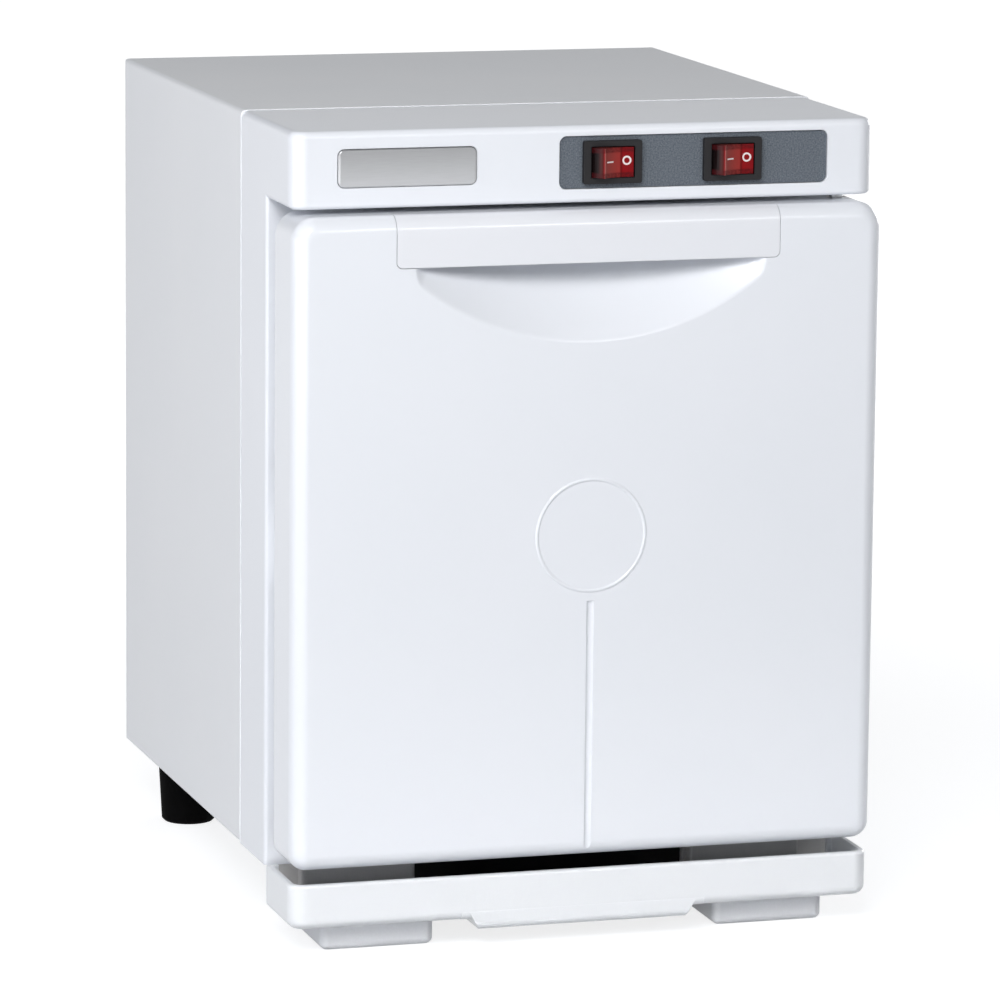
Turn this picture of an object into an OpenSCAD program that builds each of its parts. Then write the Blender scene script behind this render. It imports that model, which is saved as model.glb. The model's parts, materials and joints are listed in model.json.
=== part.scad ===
// Table-top towel warming cabinet. Millimetres, +Z up, front towards -Y.
// The origin is on the surface it stands on, under the middle of the object.

/* [Overall] */
// Width of the steel casing
casing_w = 211.6; // [190:0.2:250]
// Depth from the front of the header to the back of the casing
body_d = 248.5; // [230:0.5:300]
// Height from the surface it stands on to the top
overall_h = 288.8; // [270:0.2:340]
// Height of the casing's lower edge above that surface
floor_gap = 24.6; // [22:0.2:30]
// Thickness of the folded sheet steel
sheet_t = 0.8; // [0.6:0.1:1.2]
// Clearance between fixed pieces that fit together
fit = 0.2; // [0.1:0.05:0.4]

/* [Front bezel] */
// How far the casing's front edge stands proud of the moulded bezel
casing_proud = 0.3; // [0:0.1:0.6]
// Height of the header over the door
header_h = 26.8; // [24:0.1:36]
// How far the stiles stand behind the header's front
stile_back = 34.6; // [32:0.2:44]
// How far the seam with the casing lies behind the header's front
seam_back = 68.8; // [60:0.2:80]
// Wall of the bezel
bezel_wall = 2.5; // [2:0.1:3]
// Rounding of the header's upright front corners
header_corner_r = 5.7; // [3:0.1:8]
// Rounding of the header's top edge
header_top_r = 2.6; // [1:0.1:4]
// Rounding of the header's lower edge
header_low_r = 1.4; // [0.6:0.1:2]
// Rounding of the header's lower corners, seen from the front
header_side_r = 2; // [1:0.1:5]
// Rounding of the stiles' front edges
stile_edge_r = 1.3; // [0.6:0.1:2]
// Distance between the chamber's side and the casing's side
chamber_side = 23.8; // [21:0.2:30]
// Distance between the chamber's ceiling and the casing's top
chamber_top = 54.8; // [52:0.2:64]
// Height of the mouth above the casing's lower edge
sill_h = 19.4; // [18:0.2:24]
// Depth of the collar round the mouth
mouth_d = 20; // [14:1:26]

/* [Door] */
// How far the door stands out beyond the bezel at each side
door_over = 1.2; // [0.6:0.1:2.5]
// Gap between the header and the door
door_gap = 2; // [1:0.1:3]
// Height of the door's lower edge above the casing's lower edge
door_rise = 6.8; // [6:0.1:9]
// Thickness of the door's outer moulding
door_t = 25.3; // [23:0.1:28]
// How far the door stands proud of the header
door_proud = 8.2; // [5:0.1:12]
// Wall of the door's outer moulding
door_wall = 2.5; // [2:0.1:3]
// Radius of the door's upper corners, seen from the front
door_top_r = 8.6; // [7:0.1:14]
// Radius of the door's lower corners, seen from the front
door_low_r = 6.2; // [6:0.1:10]
// Rounding of the door's front edges
door_edge_r = 5.8; // [4:0.1:6]
// Radius of the ring on the door's face
ring_r = 19.7; // [15:0.1:26]
// Depth of the ring's centre below the door's top
ring_drop = 113.6; // [100:0.1:125]
// Width of the raised ring
ring_line = 1.3; // [0.6:0.1:2]
// How far the ring stands proud of the door's face
ring_proud = 0.3; // [0.1:0.05:0.5]
// Sideways offset of the ring and the groove from the door's middle
mark_x = 0.5; // [-2:0.1:2]
// Width of the upright groove under the ring
groove_w = 2.6; // [1.6:0.1:4]
// Depth of the upright groove
groove_depth = 0.8; // [0.5:0.1:1.2]
// Space between the ring and the groove
groove_gap = 3.6; // [2:0.1:6]
// Distance of the hinge pins from the door's right edge
hinge_in = 10.7; // [10:0.1:14]
// Distance of the hinge pins behind the header's front
hinge_back = 12; // [11:0.1:13]
// Radius of the hinge pins
hinge_pin_r = 2.5; // [2:0.1:3]
// Running clearance of the hinge pins in their bushes
hinge_play = 0.05; // [0.02:0.01:0.1]

/* [Handle] */
// Sideways offset of the handle from the door's middle
handle_x = -1; // [-5:0.5:5]
// Width of the handle insert
insert_w = 138.4; // [110:0.2:150]
// Height of the handle insert
insert_h = 17.9; // [16:0.1:24]
// Thickness of the handle insert
insert_t = 3; // [2.4:0.1:3.4]
// Radius of the finger scoop's curved lower rim
scoop_r = 92; // [85:1:100]
// How far the scoop's rim drops below the handle insert
scoop_drop = 27.2; // [20:0.2:30]
// Rounding of the scoop's two upper corners
scoop_corner_r = 3.5; // [1:0.1:5]
// Depth of the scoop at the insert's lower edge
scoop_depth = 14; // [11:0.5:14.5]
// Height of the finger pocket behind the insert
pocket_h = 9; // [6:0.5:10]

/* [Drip tray] */
// How far the drip tray stands out beyond the bezel at each side
tray_over = 1.1; // [0.6:0.1:2.5]
// Distance of the tray's front behind the door's front
tray_set = 2; // [0:0.1:4]
// Depth of the tray from front to back
tray_d = 34.7; // [30:0.1:36]
// Height of the tray's front
tray_h = 16; // [13:0.2:17]
// Height of the tray's rear wall
tray_rear_h = 6.6; // [5:0.2:10]
// Wall of the tray
tray_wall = 2.2; // [1.8:0.1:2.6]
// Rounding of the tray's upright front corners
tray_corner_r = 5.7; // [3:0.1:8]
// Rounding of the tray's lower edges
tray_low_r = 2.8; // [1:0.1:3.4]
// Depth of the lip under the middle of the tray
lip_h = 3.8; // [2.6:0.1:4.4]
// Width of the lip at its lower edge
lip_w = 76; // [60:1:84]
// How much wider the lip is at its top, on each side
lip_slant = 4.4; // [2:0.1:6]
// Length of the runner tongue behind the tray
tongue_l = 46; // [36:1:52]

/* [Feet] */
// Height of the front foot under the tray
foot_h = 10.1; // [9:0.1:10.2]
// Width of a front foot
foot_w = 41.3; // [34:0.1:46]
// Distance of the front feet's outer sides from the bezel's side
foot_side = 12.5; // [9:0.1:16]
// Rounding of the front feet's lower edges
foot_low_r = 2.2; // [1:0.1:3]
// Distance of the front feet behind the header's front
foot_front = 3.8; // [1:0.1:8]
// Length of a front foot
foot_l = 68; // [60:1:72]
// Distance of the rear feet from the casing's side
rear_foot_side = 16.6; // [13:0.1:30]
// Distance of the rear feet from the casing's back
rear_foot_back = 35.5; // [20:0.5:60]
// Radius of a rear foot at the top
rear_foot_r = 11.5; // [9:0.1:12.5]
// How much a rear foot narrows to its lower end
rear_foot_taper = 1.3; // [0.5:0.1:2]

/* [Chamber] */
// Distance between the chamber's back wall and the casing's back
chamber_behind = 26; // [22:1:40]
// Thickness of the insulation round the chamber
wool_t = 12; // [8:1:13]
// Thickness of the heater mat
mat_t = 1.6; // [1:0.1:3]
// Height of the towel rack above the chamber's floor
rack_h = 10; // [8:1:16]
// Thickness of the rack's frame wire
rack_wire = 4; // [3:0.5:5]
// Distance between the rack's cross wires
rack_pitch = 15; // [12:1:20]
// Diameter of the ultraviolet tube
lamp_d = 15.5; // [14:0.5:17]
// Distance between the ultraviolet tube's end and the chamber's side
lamp_side = 14; // [13.5:0.5:24]
// Distance of the tube's middle below the chamber's ceiling
lamp_drop = 15; // [13:0.5:20]

/* [Controls] */
// Width of the control plate
plate_w = 97.8; // [85:0.2:105]
// Height of the control plate
plate_h = 18.1; // [17:0.1:20]
// Distance of the control plate's end from the bezel's side
plate_side = 17.5; // [12:0.1:22]
// Thickness of the control plate
plate_t = 1; // [0.8:0.1:1.4]
// Depth of the plate's surface below the header's front
plate_sunk = 0.9; // [0.4:0.1:1.2]
// Width of a switch's flange
switch_w = 21; // [20:0.1:22]
// Height of a switch's flange
switch_h = 15; // [14:0.1:16]
// Thickness of a switch's flange
switch_flange = 2.1; // [1.5:0.1:2.5]
// Distance of the first switch from the plate's inner end
switch_a = 18.9; // [16:0.1:24]
// Distance of the second switch from the plate's inner end
switch_b = 62.7; // [58:0.1:70]
// Tilt of a rocker to each side
rocker_tilt = 16; // [12:0.5:16]
// Width of the name badge
badge_w = 49.3; // [40:0.1:56]
// Height of the name badge
badge_h = 13.1; // [11:0.1:16]
// Distance of the badge's end from the bezel's side
badge_side = 16.4; // [12:0.1:20]

/* [Back] */
// Width of the folded rim round the back panel
rim_w = 10; // [8:0.5:14]
// Width of the folded rims under the casing
low_rim_w = 26; // [22:0.5:30]
// Length of a vent slot
vent_l = 42; // [30:1:50]
// Width of a vent slot
vent_w = 3; // [2.5:0.1:4]
// Distance between vent slots
vent_pitch = 8; // [7:0.5:12]
// Number of vent slots in a column
vent_n = 7; // [3:1:8]
// Distance of the power inlet's middle from the casing's side
inlet_side = 39.8; // [34:0.2:50]
// Height of the power inlet's middle above the casing's lower edge
inlet_z = 30; // [26:1:40]

/* [Hidden] */
$fn = 64;
eps = 0.01;
screw_head_h = 1.6;
screw_head_r = 3;
screw_r = 1.5;
screw_l = 7;
thread_gap = 0.05;

bezel_w = casing_w - 2 * casing_proud;
bezel_top = overall_h - casing_proud;
door_w = bezel_w + 2 * door_over;
tray_w = bezel_w + 2 * tray_over;
mouth_w = casing_w - 2 * chamber_side;
lamp_l = mouth_w - 2 * lamp_side;
foot_in = bezel_w / 2 - foot_side - foot_w;
plate_x = bezel_w / 2 - plate_side - plate_w / 2;
switch_a_x = plate_x - plate_w / 2 + switch_a;
switch_b_x = plate_x - plate_w / 2 + switch_b;
badge_x = -bezel_w / 2 + badge_side + badge_w / 2;
inlet_x = -casing_w / 2 + inlet_side;

y_door = ring_proud - (body_d + door_proud + ring_proud + screw_head_h) / 2;
y_face = y_door + door_proud;
y_stile = y_face + stile_back;
y_seam = y_face + seam_back;
y_back = y_face + body_d;
z_low = floor_gap;
z_header = bezel_top - header_h;
z_mouth = z_low + sill_h;
mouth_h = overall_h - chamber_top - z_mouth;
z_door = z_low + door_rise;
z_door_top = z_header - door_gap;
y_door_back = y_door + door_t;
hinge_x = door_w / 2 - hinge_in;
hinge_y = y_face + hinge_back;

// Lays a drawing of X and Z out along Y
module along_y(y0, y1) {
    translate([0, y1, 0]) rotate([90, 0, 0]) linear_extrude(y1 - y0) children();
}

// Lays a drawing of Y and Z out along X
module along_x(x0, x1) {
    translate([x0, 0, 0]) rotate([90, 0, 90]) linear_extrude(x1 - x0) children();
}

// Lays a drawing of X and Y out along Z
module along_z(z0, z1) {
    translate([0, 0, z0]) linear_extrude(z1 - z0) children();
}

module box(lo, hi) {
    translate(lo) cube(hi - lo);
}

module both_sides() {
    children();
    mirror([1, 0, 0]) children();
}

// What is cut from a square corner at the origin to round it
module corner_cut(r) {
    if (r > 0) difference() {
        translate([-1, -1]) square(r + 1);
        translate([r, r]) circle(r);
    }
}

// A rectangle between two corners, with its own radius at each corner
module rounded(lo, hi, r_ll, r_lr, r_ur, r_ul) {
    difference() {
        translate(lo) square(hi - lo);
        translate(lo) corner_cut(r_ll);
        translate([hi[0], lo[1]]) mirror([1, 0]) corner_cut(r_lr);
        translate(hi) mirror([1, 0]) mirror([0, 1]) corner_cut(r_ur);
        translate([lo[0], hi[1]]) mirror([0, 1]) corner_cut(r_ul);
    }
}

// Section of a rim: outwards along x, backwards along y, with a round front edge
module rim_section(width, depth, r) {
    difference() {
        square([width, depth]);
        translate([width, 0]) mirror([1, 0]) corner_cut(r);
    }
}

// A board that stands upright, with round corners and a round front edge
module soft_board(w, z0, z1, y0, y1, r_top, r_low, r_edge) {
    depth = y1 - y0;
    box([-w / 2 + r_low, y0, z0 + r_low], [w / 2 - r_low, y1, z1 - r_top]);
    both_sides() {
        translate([w / 2 - r_low, y0, 0])
            along_z(z0 + r_low, z1 - r_top) rim_section(r_low, depth, r_edge);
        translate([w / 2 - r_top, y0, z1 - r_top]) rotate([-90, 0, 0]) rotate([0, 0, -90])
            rotate_extrude(angle = 90) rim_section(r_top, depth, r_edge);
        translate([w / 2 - r_low, y0, z0 + r_low]) rotate([-90, 0, 0])
            rotate_extrude(angle = 90) rim_section(r_low, depth, r_edge);
    }
    along_x(-w / 2 + r_top, w / 2 - r_top) translate([y0, z1 - r_top])
        rotate(90) mirror([0, 1]) rim_section(r_top, depth, r_edge);
    along_x(-w / 2 + r_low, w / 2 - r_low) translate([y0, z0 + r_low])
        rotate(-90) rim_section(r_low, depth, r_edge);
}

// A pan-head screw with its head's seat at the origin, pointing along +Z
module screw(length) {
    translate([0, 0, -screw_head_h]) difference() {
        cylinder(h = screw_head_h, r1 = screw_head_r * 0.8, r2 = screw_head_r);
        translate([0, 0, -eps]) cylinder(h = 0.8, r = 1);
    }
    cylinder(h = length, r = screw_r);
}

// The steel wrap: top, sides, and the rims that are folded in at the back and below

casing_bend = 2;
back_bend = 3;
low_corner_r = 4.5;

module casing_form(inset, y_front) {
    w = casing_w - 2 * inset;
    z0 = z_low + inset;
    z1 = overall_h - inset;
    y1 = y_back - inset;
    intersection() {
        along_y(y_front, y1) rounded([-w / 2, z0], [w / 2, z1],
            casing_bend - inset, casing_bend - inset, casing_bend - inset, casing_bend - inset);
        along_z(z0, z1) rounded([-w / 2, y_front], [w / 2, y1],
            0, 0, back_bend - inset, back_bend - inset);
        along_x(-w / 2, w / 2) rounded([y_front, z0], [y1, z1],
            0, low_corner_r - inset, back_bend - inset, 0);
    }
}

module outer_casing() {
    color("#eceef0") difference() {
        casing_form(0, y_seam);
        casing_form(sheet_t, y_seam - 1);
        along_y(y_back - 2 * back_bend, y_back + 1)
            rounded([-casing_w / 2 + rim_w, z_low + rim_w],
                [casing_w / 2 - rim_w, overall_h - rim_w], 2, 2, 2, 2);
        box([-casing_w / 2 + low_rim_w, y_seam - 1, z_low - 1],
            [casing_w / 2 - low_rim_w, y_back - rim_w, z_low + 2]);
        for (p = back_screw_spots) translate([p[0], y_back + 1, p[1]])
            rotate([90, 0, 0]) cylinder(h = 4, r = screw_r + fit);
        for (s = [-1, 1]) translate([s * rear_foot_x, rear_foot_y, z_low - 1])
            cylinder(h = 3, r = screw_r + fit);
    }
}

back_screw_in = rim_w / 2;
top_screw_in = 45;
side_screw_low = 40;
side_screw_high = 30;
back_screw_spots = [for (s = [-1, 1]) for (z = [z_low + side_screw_low, overall_h - side_screw_high])
    [s * (casing_w / 2 - back_screw_in), z],
    for (s = [-1, 1]) [s * (casing_w / 2 - top_screw_in), overall_h - back_screw_in]];
back_panel_y = y_back - sheet_t - fit;
vent_drop = 34;

// The flat back, with vent slots above and the inlet's cut-out below
module back_panel() {
    w = casing_w - 2 * (sheet_t + fit) - 2 * back_bend;
    z0 = z_low + sheet_t + fit + low_corner_r;
    z1 = overall_h - sheet_t - fit - back_bend;
    vent_z = overall_h - vent_drop;
    color("#d9dcde") difference() {
        along_y(back_panel_y - sheet_t, back_panel_y)
            rounded([-w / 2, z0], [w / 2, z1], 2, 2, 2, 2);
        for (s = [-1, 1]) for (i = [0 : vent_n - 1])
            translate([s * vent_l * 0.75, 0, vent_z - i * vent_pitch]) vent_slot();
        for (p = back_screw_spots) translate([p[0], y_back, p[1]])
            rotate([90, 0, 0]) cylinder(h = 4, r = screw_r + fit);
        along_y(y_back - 6, y_back + 1) translate([inlet_x, z_low + inlet_z])
            inlet_outline(inlet_body_w / 2 + fit, inlet_body_h / 2 + fit);
    }
}

module vent_slot() {
    along_y(y_back - 6, y_back + 1) {
        square([vent_l - vent_w, vent_w], center = true);
        for (s = [-1, 1]) translate([s * (vent_l - vent_w) / 2, 0]) circle(d = vent_w);
    }
}

pan_t = 1;
pan_z = z_low + sheet_t + fit;
pan_rise = 12;
pan_slot_w = 4;
pan_slot_l = 48;
pan_slot_pitch = 18;

// The floor of the casing, a folded pan with upturned sides
module base_pan() {
    w = casing_w - 2 * (sheet_t + fit) - 2;
    y0 = y_seam + fit + 7;
    y1 = back_panel_y - low_corner_r;
    color("#b9bdc0") difference() {
        box([-w / 2, y0, pan_z], [w / 2, y1, pan_z + pan_rise]);
        box([-w / 2 + pan_t, y0 - 1, pan_z + pan_t], [w / 2 - pan_t, y1 - pan_t, pan_z + 40]);
        for (s = [-1, 1]) translate([s * rear_foot_x, rear_foot_y, pan_z - 1])
            cylinder(h = 4, r = screw_r + fit);
        for (i = [-3 : 3]) translate([i * pan_slot_pitch, (y0 + y1) / 2, pan_z - 1])
            along_z(0, 4) rounded([-pan_slot_w / 2, -pan_slot_l / 2], [pan_slot_w / 2, pan_slot_l / 2],
                pan_slot_w / 2.1, pan_slot_w / 2.1, pan_slot_w / 2.1, pan_slot_w / 2.1);
    }
}

// The one-piece moulded front: header, stiles, sill and the collar of the mouth

// Section of the header's edge: outwards along x, upwards along y
module header_section(width) {
    rounded([0, z_header], [width, bezel_top], 0, header_low_r, header_top_r, 0);
}

module bezel_header() {
    r = header_corner_r;
    x = bezel_w / 2 - r;
    intersection() {
        union() {
            box([-x, y_face + r, z_header], [x, y_seam, bezel_top]);
            translate([0, y_face + r, 0]) {
                // the front edge between its two upright corners
                rotate([0, 0, -90]) along_y(-x, x) header_section(r);
                for (s = [0, 1]) mirror([s, 0, 0]) translate([x, 0, 0]) {
                    rotate([0, 0, -90]) rotate_extrude(angle = 90) header_section(r);
                    along_y(0, y_seam - y_face - r) header_section(r);
                }
            }
        }
        // the lower corners, seen from the front
        along_y(y_face, y_seam) rounded([-bezel_w / 2, z_header], [bezel_w / 2, bezel_top],
            header_side_r, header_side_r, 0, 0);
    }
}

module bezel_frame() {
    along_z(z_low, z_header + header_side_r + 2) rounded([-bezel_w / 2, y_stile],
        [bezel_w / 2, y_seam], stile_edge_r, stile_edge_r, 0, 0);
}

tongue_in = sheet_t + fit;

// The rim behind the seam that the casing slips over
module bezel_tongue() {
    w = casing_w - 2 * tongue_in;
    top = overall_h - tongue_in;
    difference() {
        along_y(y_seam - bezel_wall, y_seam + 5)
            rounded([-w / 2, z_low + rim_w], [w / 2, top], 0, 0, casing_bend / 2, casing_bend / 2);
        box([-w / 2 + 1.6, y_seam - bezel_wall - 1, z_low],
            [w / 2 - 1.6, y_seam + 6, top - 1.6]);
    }
}

module front_bezel() {
    mouth_top = z_mouth + mouth_h;
    in_w = bezel_w / 2 - bezel_wall;
    collar = mouth_w / 2 + bezel_wall;
    color("#f2f4f7") difference() {
        union() {
            difference() {
                union() {
                    bezel_header();
                    bezel_frame();
                }
                // hollow of the header
                box([-in_w, y_face + bezel_wall, z_header + bezel_wall],
                    [in_w, y_seam + 1, bezel_top - bezel_wall]);
                // hollow of the frame, open to the back
                box([-in_w, y_stile + bezel_wall, z_low + bezel_wall],
                    [in_w, y_seam + 1, z_header + bezel_wall + eps]);
            }
            // floor of the header, between its front and the frame
            box([-in_w, y_face + bezel_wall, z_header], [in_w, y_stile + bezel_wall,
                z_header + bezel_wall]);
            // collar of the mouth
            box([-collar, y_stile + eps, z_mouth - bezel_wall],
                [collar, y_stile + mouth_d, mouth_top + bezel_wall]);
            bezel_tongue();
            // thick pads behind the control plate and the badge
            box([plate_x - plate_w / 2 - 3, y_face + bezel_wall - eps, z_header + 1],
                [plate_x + plate_w / 2 + 3, y_face + plate_floor + bezel_wall, bezel_top - 1]);
        }
        along_y(y_stile - 1, y_seam + 1) rounded([-mouth_w / 2, z_mouth],
            [mouth_w / 2, mouth_top], 3, 3, 3, 3);
        // seat of the control plate
        along_y(y_face - 1, y_face + plate_floor) rounded(
            [plate_x - plate_w / 2 - fit, control_z - plate_h / 2 - fit],
            [plate_x + plate_w / 2 + fit, control_z + plate_h / 2 + fit], 2.6, 2.6, 2.6, 2.6);
        for (x = [switch_a_x, switch_b_x]) along_y(y_face, y_face + 12)
            translate([x, control_z]) square([switch_body_w + 2 * fit, switch_body_h + 2 * fit],
                center = true);
        // seat of the badge
        along_y(y_face - 1, y_face + badge_sunk) rounded(
            [badge_x - badge_w / 2 - fit, control_z - badge_h / 2 - fit],
            [badge_x + badge_w / 2 + fit, control_z + badge_h / 2 + fit], 2.4, 2.4, 2.4, 2.4);
        for (p = upper_bracket_holes) translate([p[0], p[1], z_header - 1])
            cylinder(h = 5, r = screw_r + thread_gap);
        // way for the upper hinge pin
        translate([hinge_x, hinge_y, z_header - 1]) cylinder(h = 6, r = hinge_pin_r + 0.5);
        // seat of the catch magnet
        box([magnet_x - magnet_w / 2 - fit, y_stile - 1, magnet_z - magnet_h / 2 - fit],
            [magnet_x + magnet_w / 2 + fit, y_stile + magnet_d + fit, magnet_z + magnet_h / 2 + fit]);
        // screw holes of the lower hinge bracket
        for (x = lower_bracket_holes) translate([x, y_stile - 1, lower_screw_z])
            rotate([-90, 0, 0]) cylinder(h = 5, r = screw_r + thread_gap);
        for (s = [-1, 1]) translate([s * front_screw_x, front_screw_y, z_low - 1])
            cylinder(h = 5, r = screw_r + thread_gap);
    }
}

// The aluminium box that holds the towels
chamber_sheet = 0.8;
y_chamber = y_stile + mouth_d;
y_chamber_back = y_back - chamber_behind;
chamber_flange = 8;

module inner_chamber() {
    x = mouth_w / 2;
    top = z_mouth + mouth_h;
    t = chamber_sheet;
    color("#c9ccd0") difference() {
        union() {
            along_y(y_chamber, y_chamber_back + t) rounded([-x - t, z_mouth - t],
                [x + t, top + t], 3 + t, 3 + t, 3 + t, 3 + t);
            along_y(y_chamber, y_chamber + t)
                rounded([-x - chamber_flange, z_mouth - chamber_flange],
                    [x + chamber_flange, top + chamber_flange], 2, 2, 2, 2);
        }
        along_y(y_chamber - 1, y_chamber_back) rounded([-x, z_mouth], [x, top], 3, 3, 3, 3);
        // fixing holes of the lamp holders
        for (s = [-1, 1]) translate([s * lamp_holder_x, lamp_y, top - 1])
            cylinder(h = 4, r = screw_r + fit);
        // sensing hole of the thermostat
        translate([thermostat_x, y_chamber_back - 1, thermostat_z]) rotate([-90, 0, 0])
            cylinder(h = 4, r = 6);
    }
}

wool_front = 14;
wool_back = 4;

// Wool blanket over the top and both sides of the chamber
module chamber_insulation() {
    x = mouth_w / 2 + chamber_sheet + fit;
    top = z_mouth + mouth_h + chamber_sheet + fit;
    y0 = y_chamber + chamber_sheet + wool_front;
    y1 = y_chamber_back - wool_back;
    color("#d8cfa8") difference() {
        along_y(y0, y1) rounded([-x - wool_t, z_mouth - 2], [x + wool_t, top + wool_t], 0, 0, 6, 6);
        along_y(y0 - 1, y1 + 1) rounded([-x, z_mouth - 3], [x, top], 0, 0, 4, 4);
        for (s = [-1, 1]) translate([s * lamp_holder_x, lamp_y, top - 5])
            cylinder(h = wool_t + 10, r = 5);
    }
}

// Silicone heating mat bonded under the chamber's floor
mat_in = 20;
lead_cap_w = 18;
lead_cap_l = 12;
lead_cap_h = 3;

module heater_mat() {
    x = mouth_w / 2 - mat_in;
    y1 = y_chamber_back - mat_in;
    z1 = z_mouth - chamber_sheet;
    color("#c4562a") {
        along_z(z1 - mat_t, z1) rounded([-x, y_chamber + mat_in], [x, y1], 4, 4, 4, 4);
        // cap over the soldered leads
        along_z(z1 - mat_t - lead_cap_h, z1 - mat_t + eps)
            rounded([-lead_cap_w / 2, y1 - lead_cap_l - 4], [lead_cap_w / 2, y1 - 4], 2, 2, 2, 2);
    }
}

shelf_z = z_mouth + mouth_h + chamber_sheet + fit + wool_t + fit;

// Sheet shelf over the insulation that carries the electrical parts
module component_shelf() {
    w = casing_w - 2 * (sheet_t + fit);
    y0 = y_seam + 7;
    y1 = back_panel_y - back_bend;
    color("#b9bdc0") difference() {
        union() {
            box([-w / 2, y0, shelf_z], [w / 2, y1, shelf_z + sheet_t]);
            both_sides() box([w / 2 - sheet_t, y0, shelf_z], [w / 2, y1, shelf_z + 10]);
        }
        for (x = [-60, 60]) translate([x, y1 - 12, shelf_z - 1]) cylinder(h = 4, r = 6);
    }
}

thermostat_x = 40;
thermostat_z = z_mouth + 60;

// Bimetal disc thermostat on the chamber's back
module thermostat() {
    y0 = y_chamber_back + chamber_sheet;
    color("#6b4f3a") translate([thermostat_x, y0, thermostat_z]) rotate([-90, 0, 0]) {
        translate([0, 0, -1.2]) cylinder(h = 1.2 + eps, r = 5.8);
        cylinder(h = 5, r = 8);
        translate([0, 0, 5]) cylinder(h = 4, r = 6.5);
        difference() {
            box([-12, -4, 0], [12, 4, 0.8]);
            for (s = [-1, 1]) translate([s * 10, 0, -1]) cylinder(h = 3, r = 1.2);
        }
        for (s = [-1, 1]) box([s * 3.5 - 0.4, -2.4, 9 - eps], [s * 3.5 + 0.4, 2.4, 15]);
    }
}

fuse_side = 40;
fuse_r = 2.2;
fuse_l = 16;
fuse_lead_l = 10;
clip_l = 18;
clip_w = 6;
clip_h = 3;

// One-shot thermal fuse in its clip, beside the thermostat
module thermal_fuse() {
    y0 = y_chamber_back + chamber_sheet;
    color("#d9d3c4") translate([thermostat_x - fuse_side, y0, thermostat_z]) {
        box([-clip_l / 2, 0, -clip_w / 2], [clip_l / 2, 1, clip_w / 2]);
        box([-2, 0.5, -clip_w / 2], [2, clip_h, clip_w / 2]);
        translate([-fuse_l / 2, clip_h, 0]) rotate([0, 90, 0]) cylinder(h = fuse_l, r = fuse_r);
        for (s = [-1, 1]) translate([s * fuse_l / 2, clip_h, 0]) rotate([0, s * 90, 0])
            cylinder(h = fuse_lead_l, r = 0.5);
    }
}

lamp_y = (y_chamber + y_chamber_back) / 2;
lamp_z = z_mouth + mouth_h - lamp_drop;
lamp_holder_x = lamp_l / 2 + 5;
lamp_holder_t = 8;
lamp_pin_l = 6;

// Germicidal tube with its two end caps and pins
module uv_lamp() {
    color("#dfe6f2") translate([-lamp_l / 2, lamp_y, lamp_z]) rotate([0, 90, 0]) {
        translate([0, 0, 8]) cylinder(h = lamp_l - 16, r = lamp_d / 2 - 0.4);
        for (z = [0, lamp_l - 8]) translate([0, 0, z]) cylinder(h = 8, r = lamp_d / 2);
        for (y = [-2.5, 2.5]) translate([0, y, -lamp_pin_l]) cylinder(h = lamp_pin_l + eps, r = 1.1);
        for (y = [-2.5, 2.5]) translate([0, y, lamp_l - eps]) cylinder(h = lamp_pin_l, r = 1.1);
    }
}

// The two sockets that hang from the ceiling and hold the tube
module uv_lamp_holders() {
    top = z_mouth + mouth_h;
    x0 = lamp_l / 2 + fit;
    color("#f4f4f0") both_sides() difference() {
        union() {
            along_x(x0, x0 + lamp_holder_t) rounded([lamp_y - 10, lamp_z - 10], [lamp_y + 10, top],
                8, 8, 0, 0);
            box([x0, lamp_y - 13, top - 3], [x0 + lamp_holder_t, lamp_y + 13, top]);
        }
        for (y = [-2.5, 2.5]) translate([x0 - 1, lamp_y + y, lamp_z]) rotate([0, 90, 0])
            cylinder(h = lamp_pin_l + 1.5, r = 1.1 + fit);
        translate([lamp_holder_x, lamp_y, top - 7]) cylinder(h = 8, r = screw_r + thread_gap);
    }
}

// Screws that hold the sockets, put in from above the chamber
module lamp_screws() {
    z = z_mouth + mouth_h + chamber_sheet;
    color("#c9ccd0") both_sides() translate([lamp_holder_x, lamp_y, z])
        rotate([180, 0, 0]) screw(screw_l);
}

guard_r = 14;

// Wire hoops on two rails that keep towels off the tube
module uv_lamp_guard() {
    top = z_mouth + mouth_h;
    wire = 1;
    n = 6;
    step = (lamp_l - 20) / (n - 1);
    color("#c9ccd0") {
        for (i = [0 : n - 1]) translate([-lamp_l / 2 + 10 + i * step, lamp_y, lamp_z]) {
            rotate([0, 90, 0]) rotate([0, 0, -90]) rotate_extrude(angle = 180)
                translate([guard_r, 0]) circle(wire);
            for (s = [-1, 1]) translate([0, s * guard_r, 0]) cylinder(h = top - lamp_z - 0.6, r = wire);
        }
        for (s = [-1, 1]) box([-lamp_l / 2 + 4, lamp_y + s * guard_r - 3, top - 1],
            [lamp_l / 2 - 4, lamp_y + s * guard_r + 3, top]);
        translate([-lamp_l / 2 + 8, lamp_y, lamp_z - guard_r - wire]) rotate([0, 90, 0])
            cylinder(h = lamp_l - 16, r = wire * 0.8);
    }
}

ballast_l = 68;
ballast_w = 34;
ballast_h = 24;
ballast_ear = 8;
ballast_side = 6;
ballast_y = y_seam + 60;

// Choke of the tube, a steel can with mounting ears
module uv_ballast() {
    z0 = shelf_z + sheet_t;
    x1 = casing_w / 2 - ballast_side;
    x0 = x1 - ballast_l - 2 * ballast_ear;
    color("#9aa0a6") difference() {
        union() {
            box([x0 + ballast_ear, ballast_y, z0], [x1 - ballast_ear, ballast_y + ballast_w,
                z0 + ballast_h]);
            box([x0, ballast_y + 4, z0], [x1, ballast_y + ballast_w - 4, z0 + 1.5]);
        }
        for (x = [x0 + ballast_ear / 2, x1 - ballast_ear / 2])
            translate([x, ballast_y + ballast_w / 2, z0 - 1]) cylinder(h = 4, r = 2);
    }
}

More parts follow.
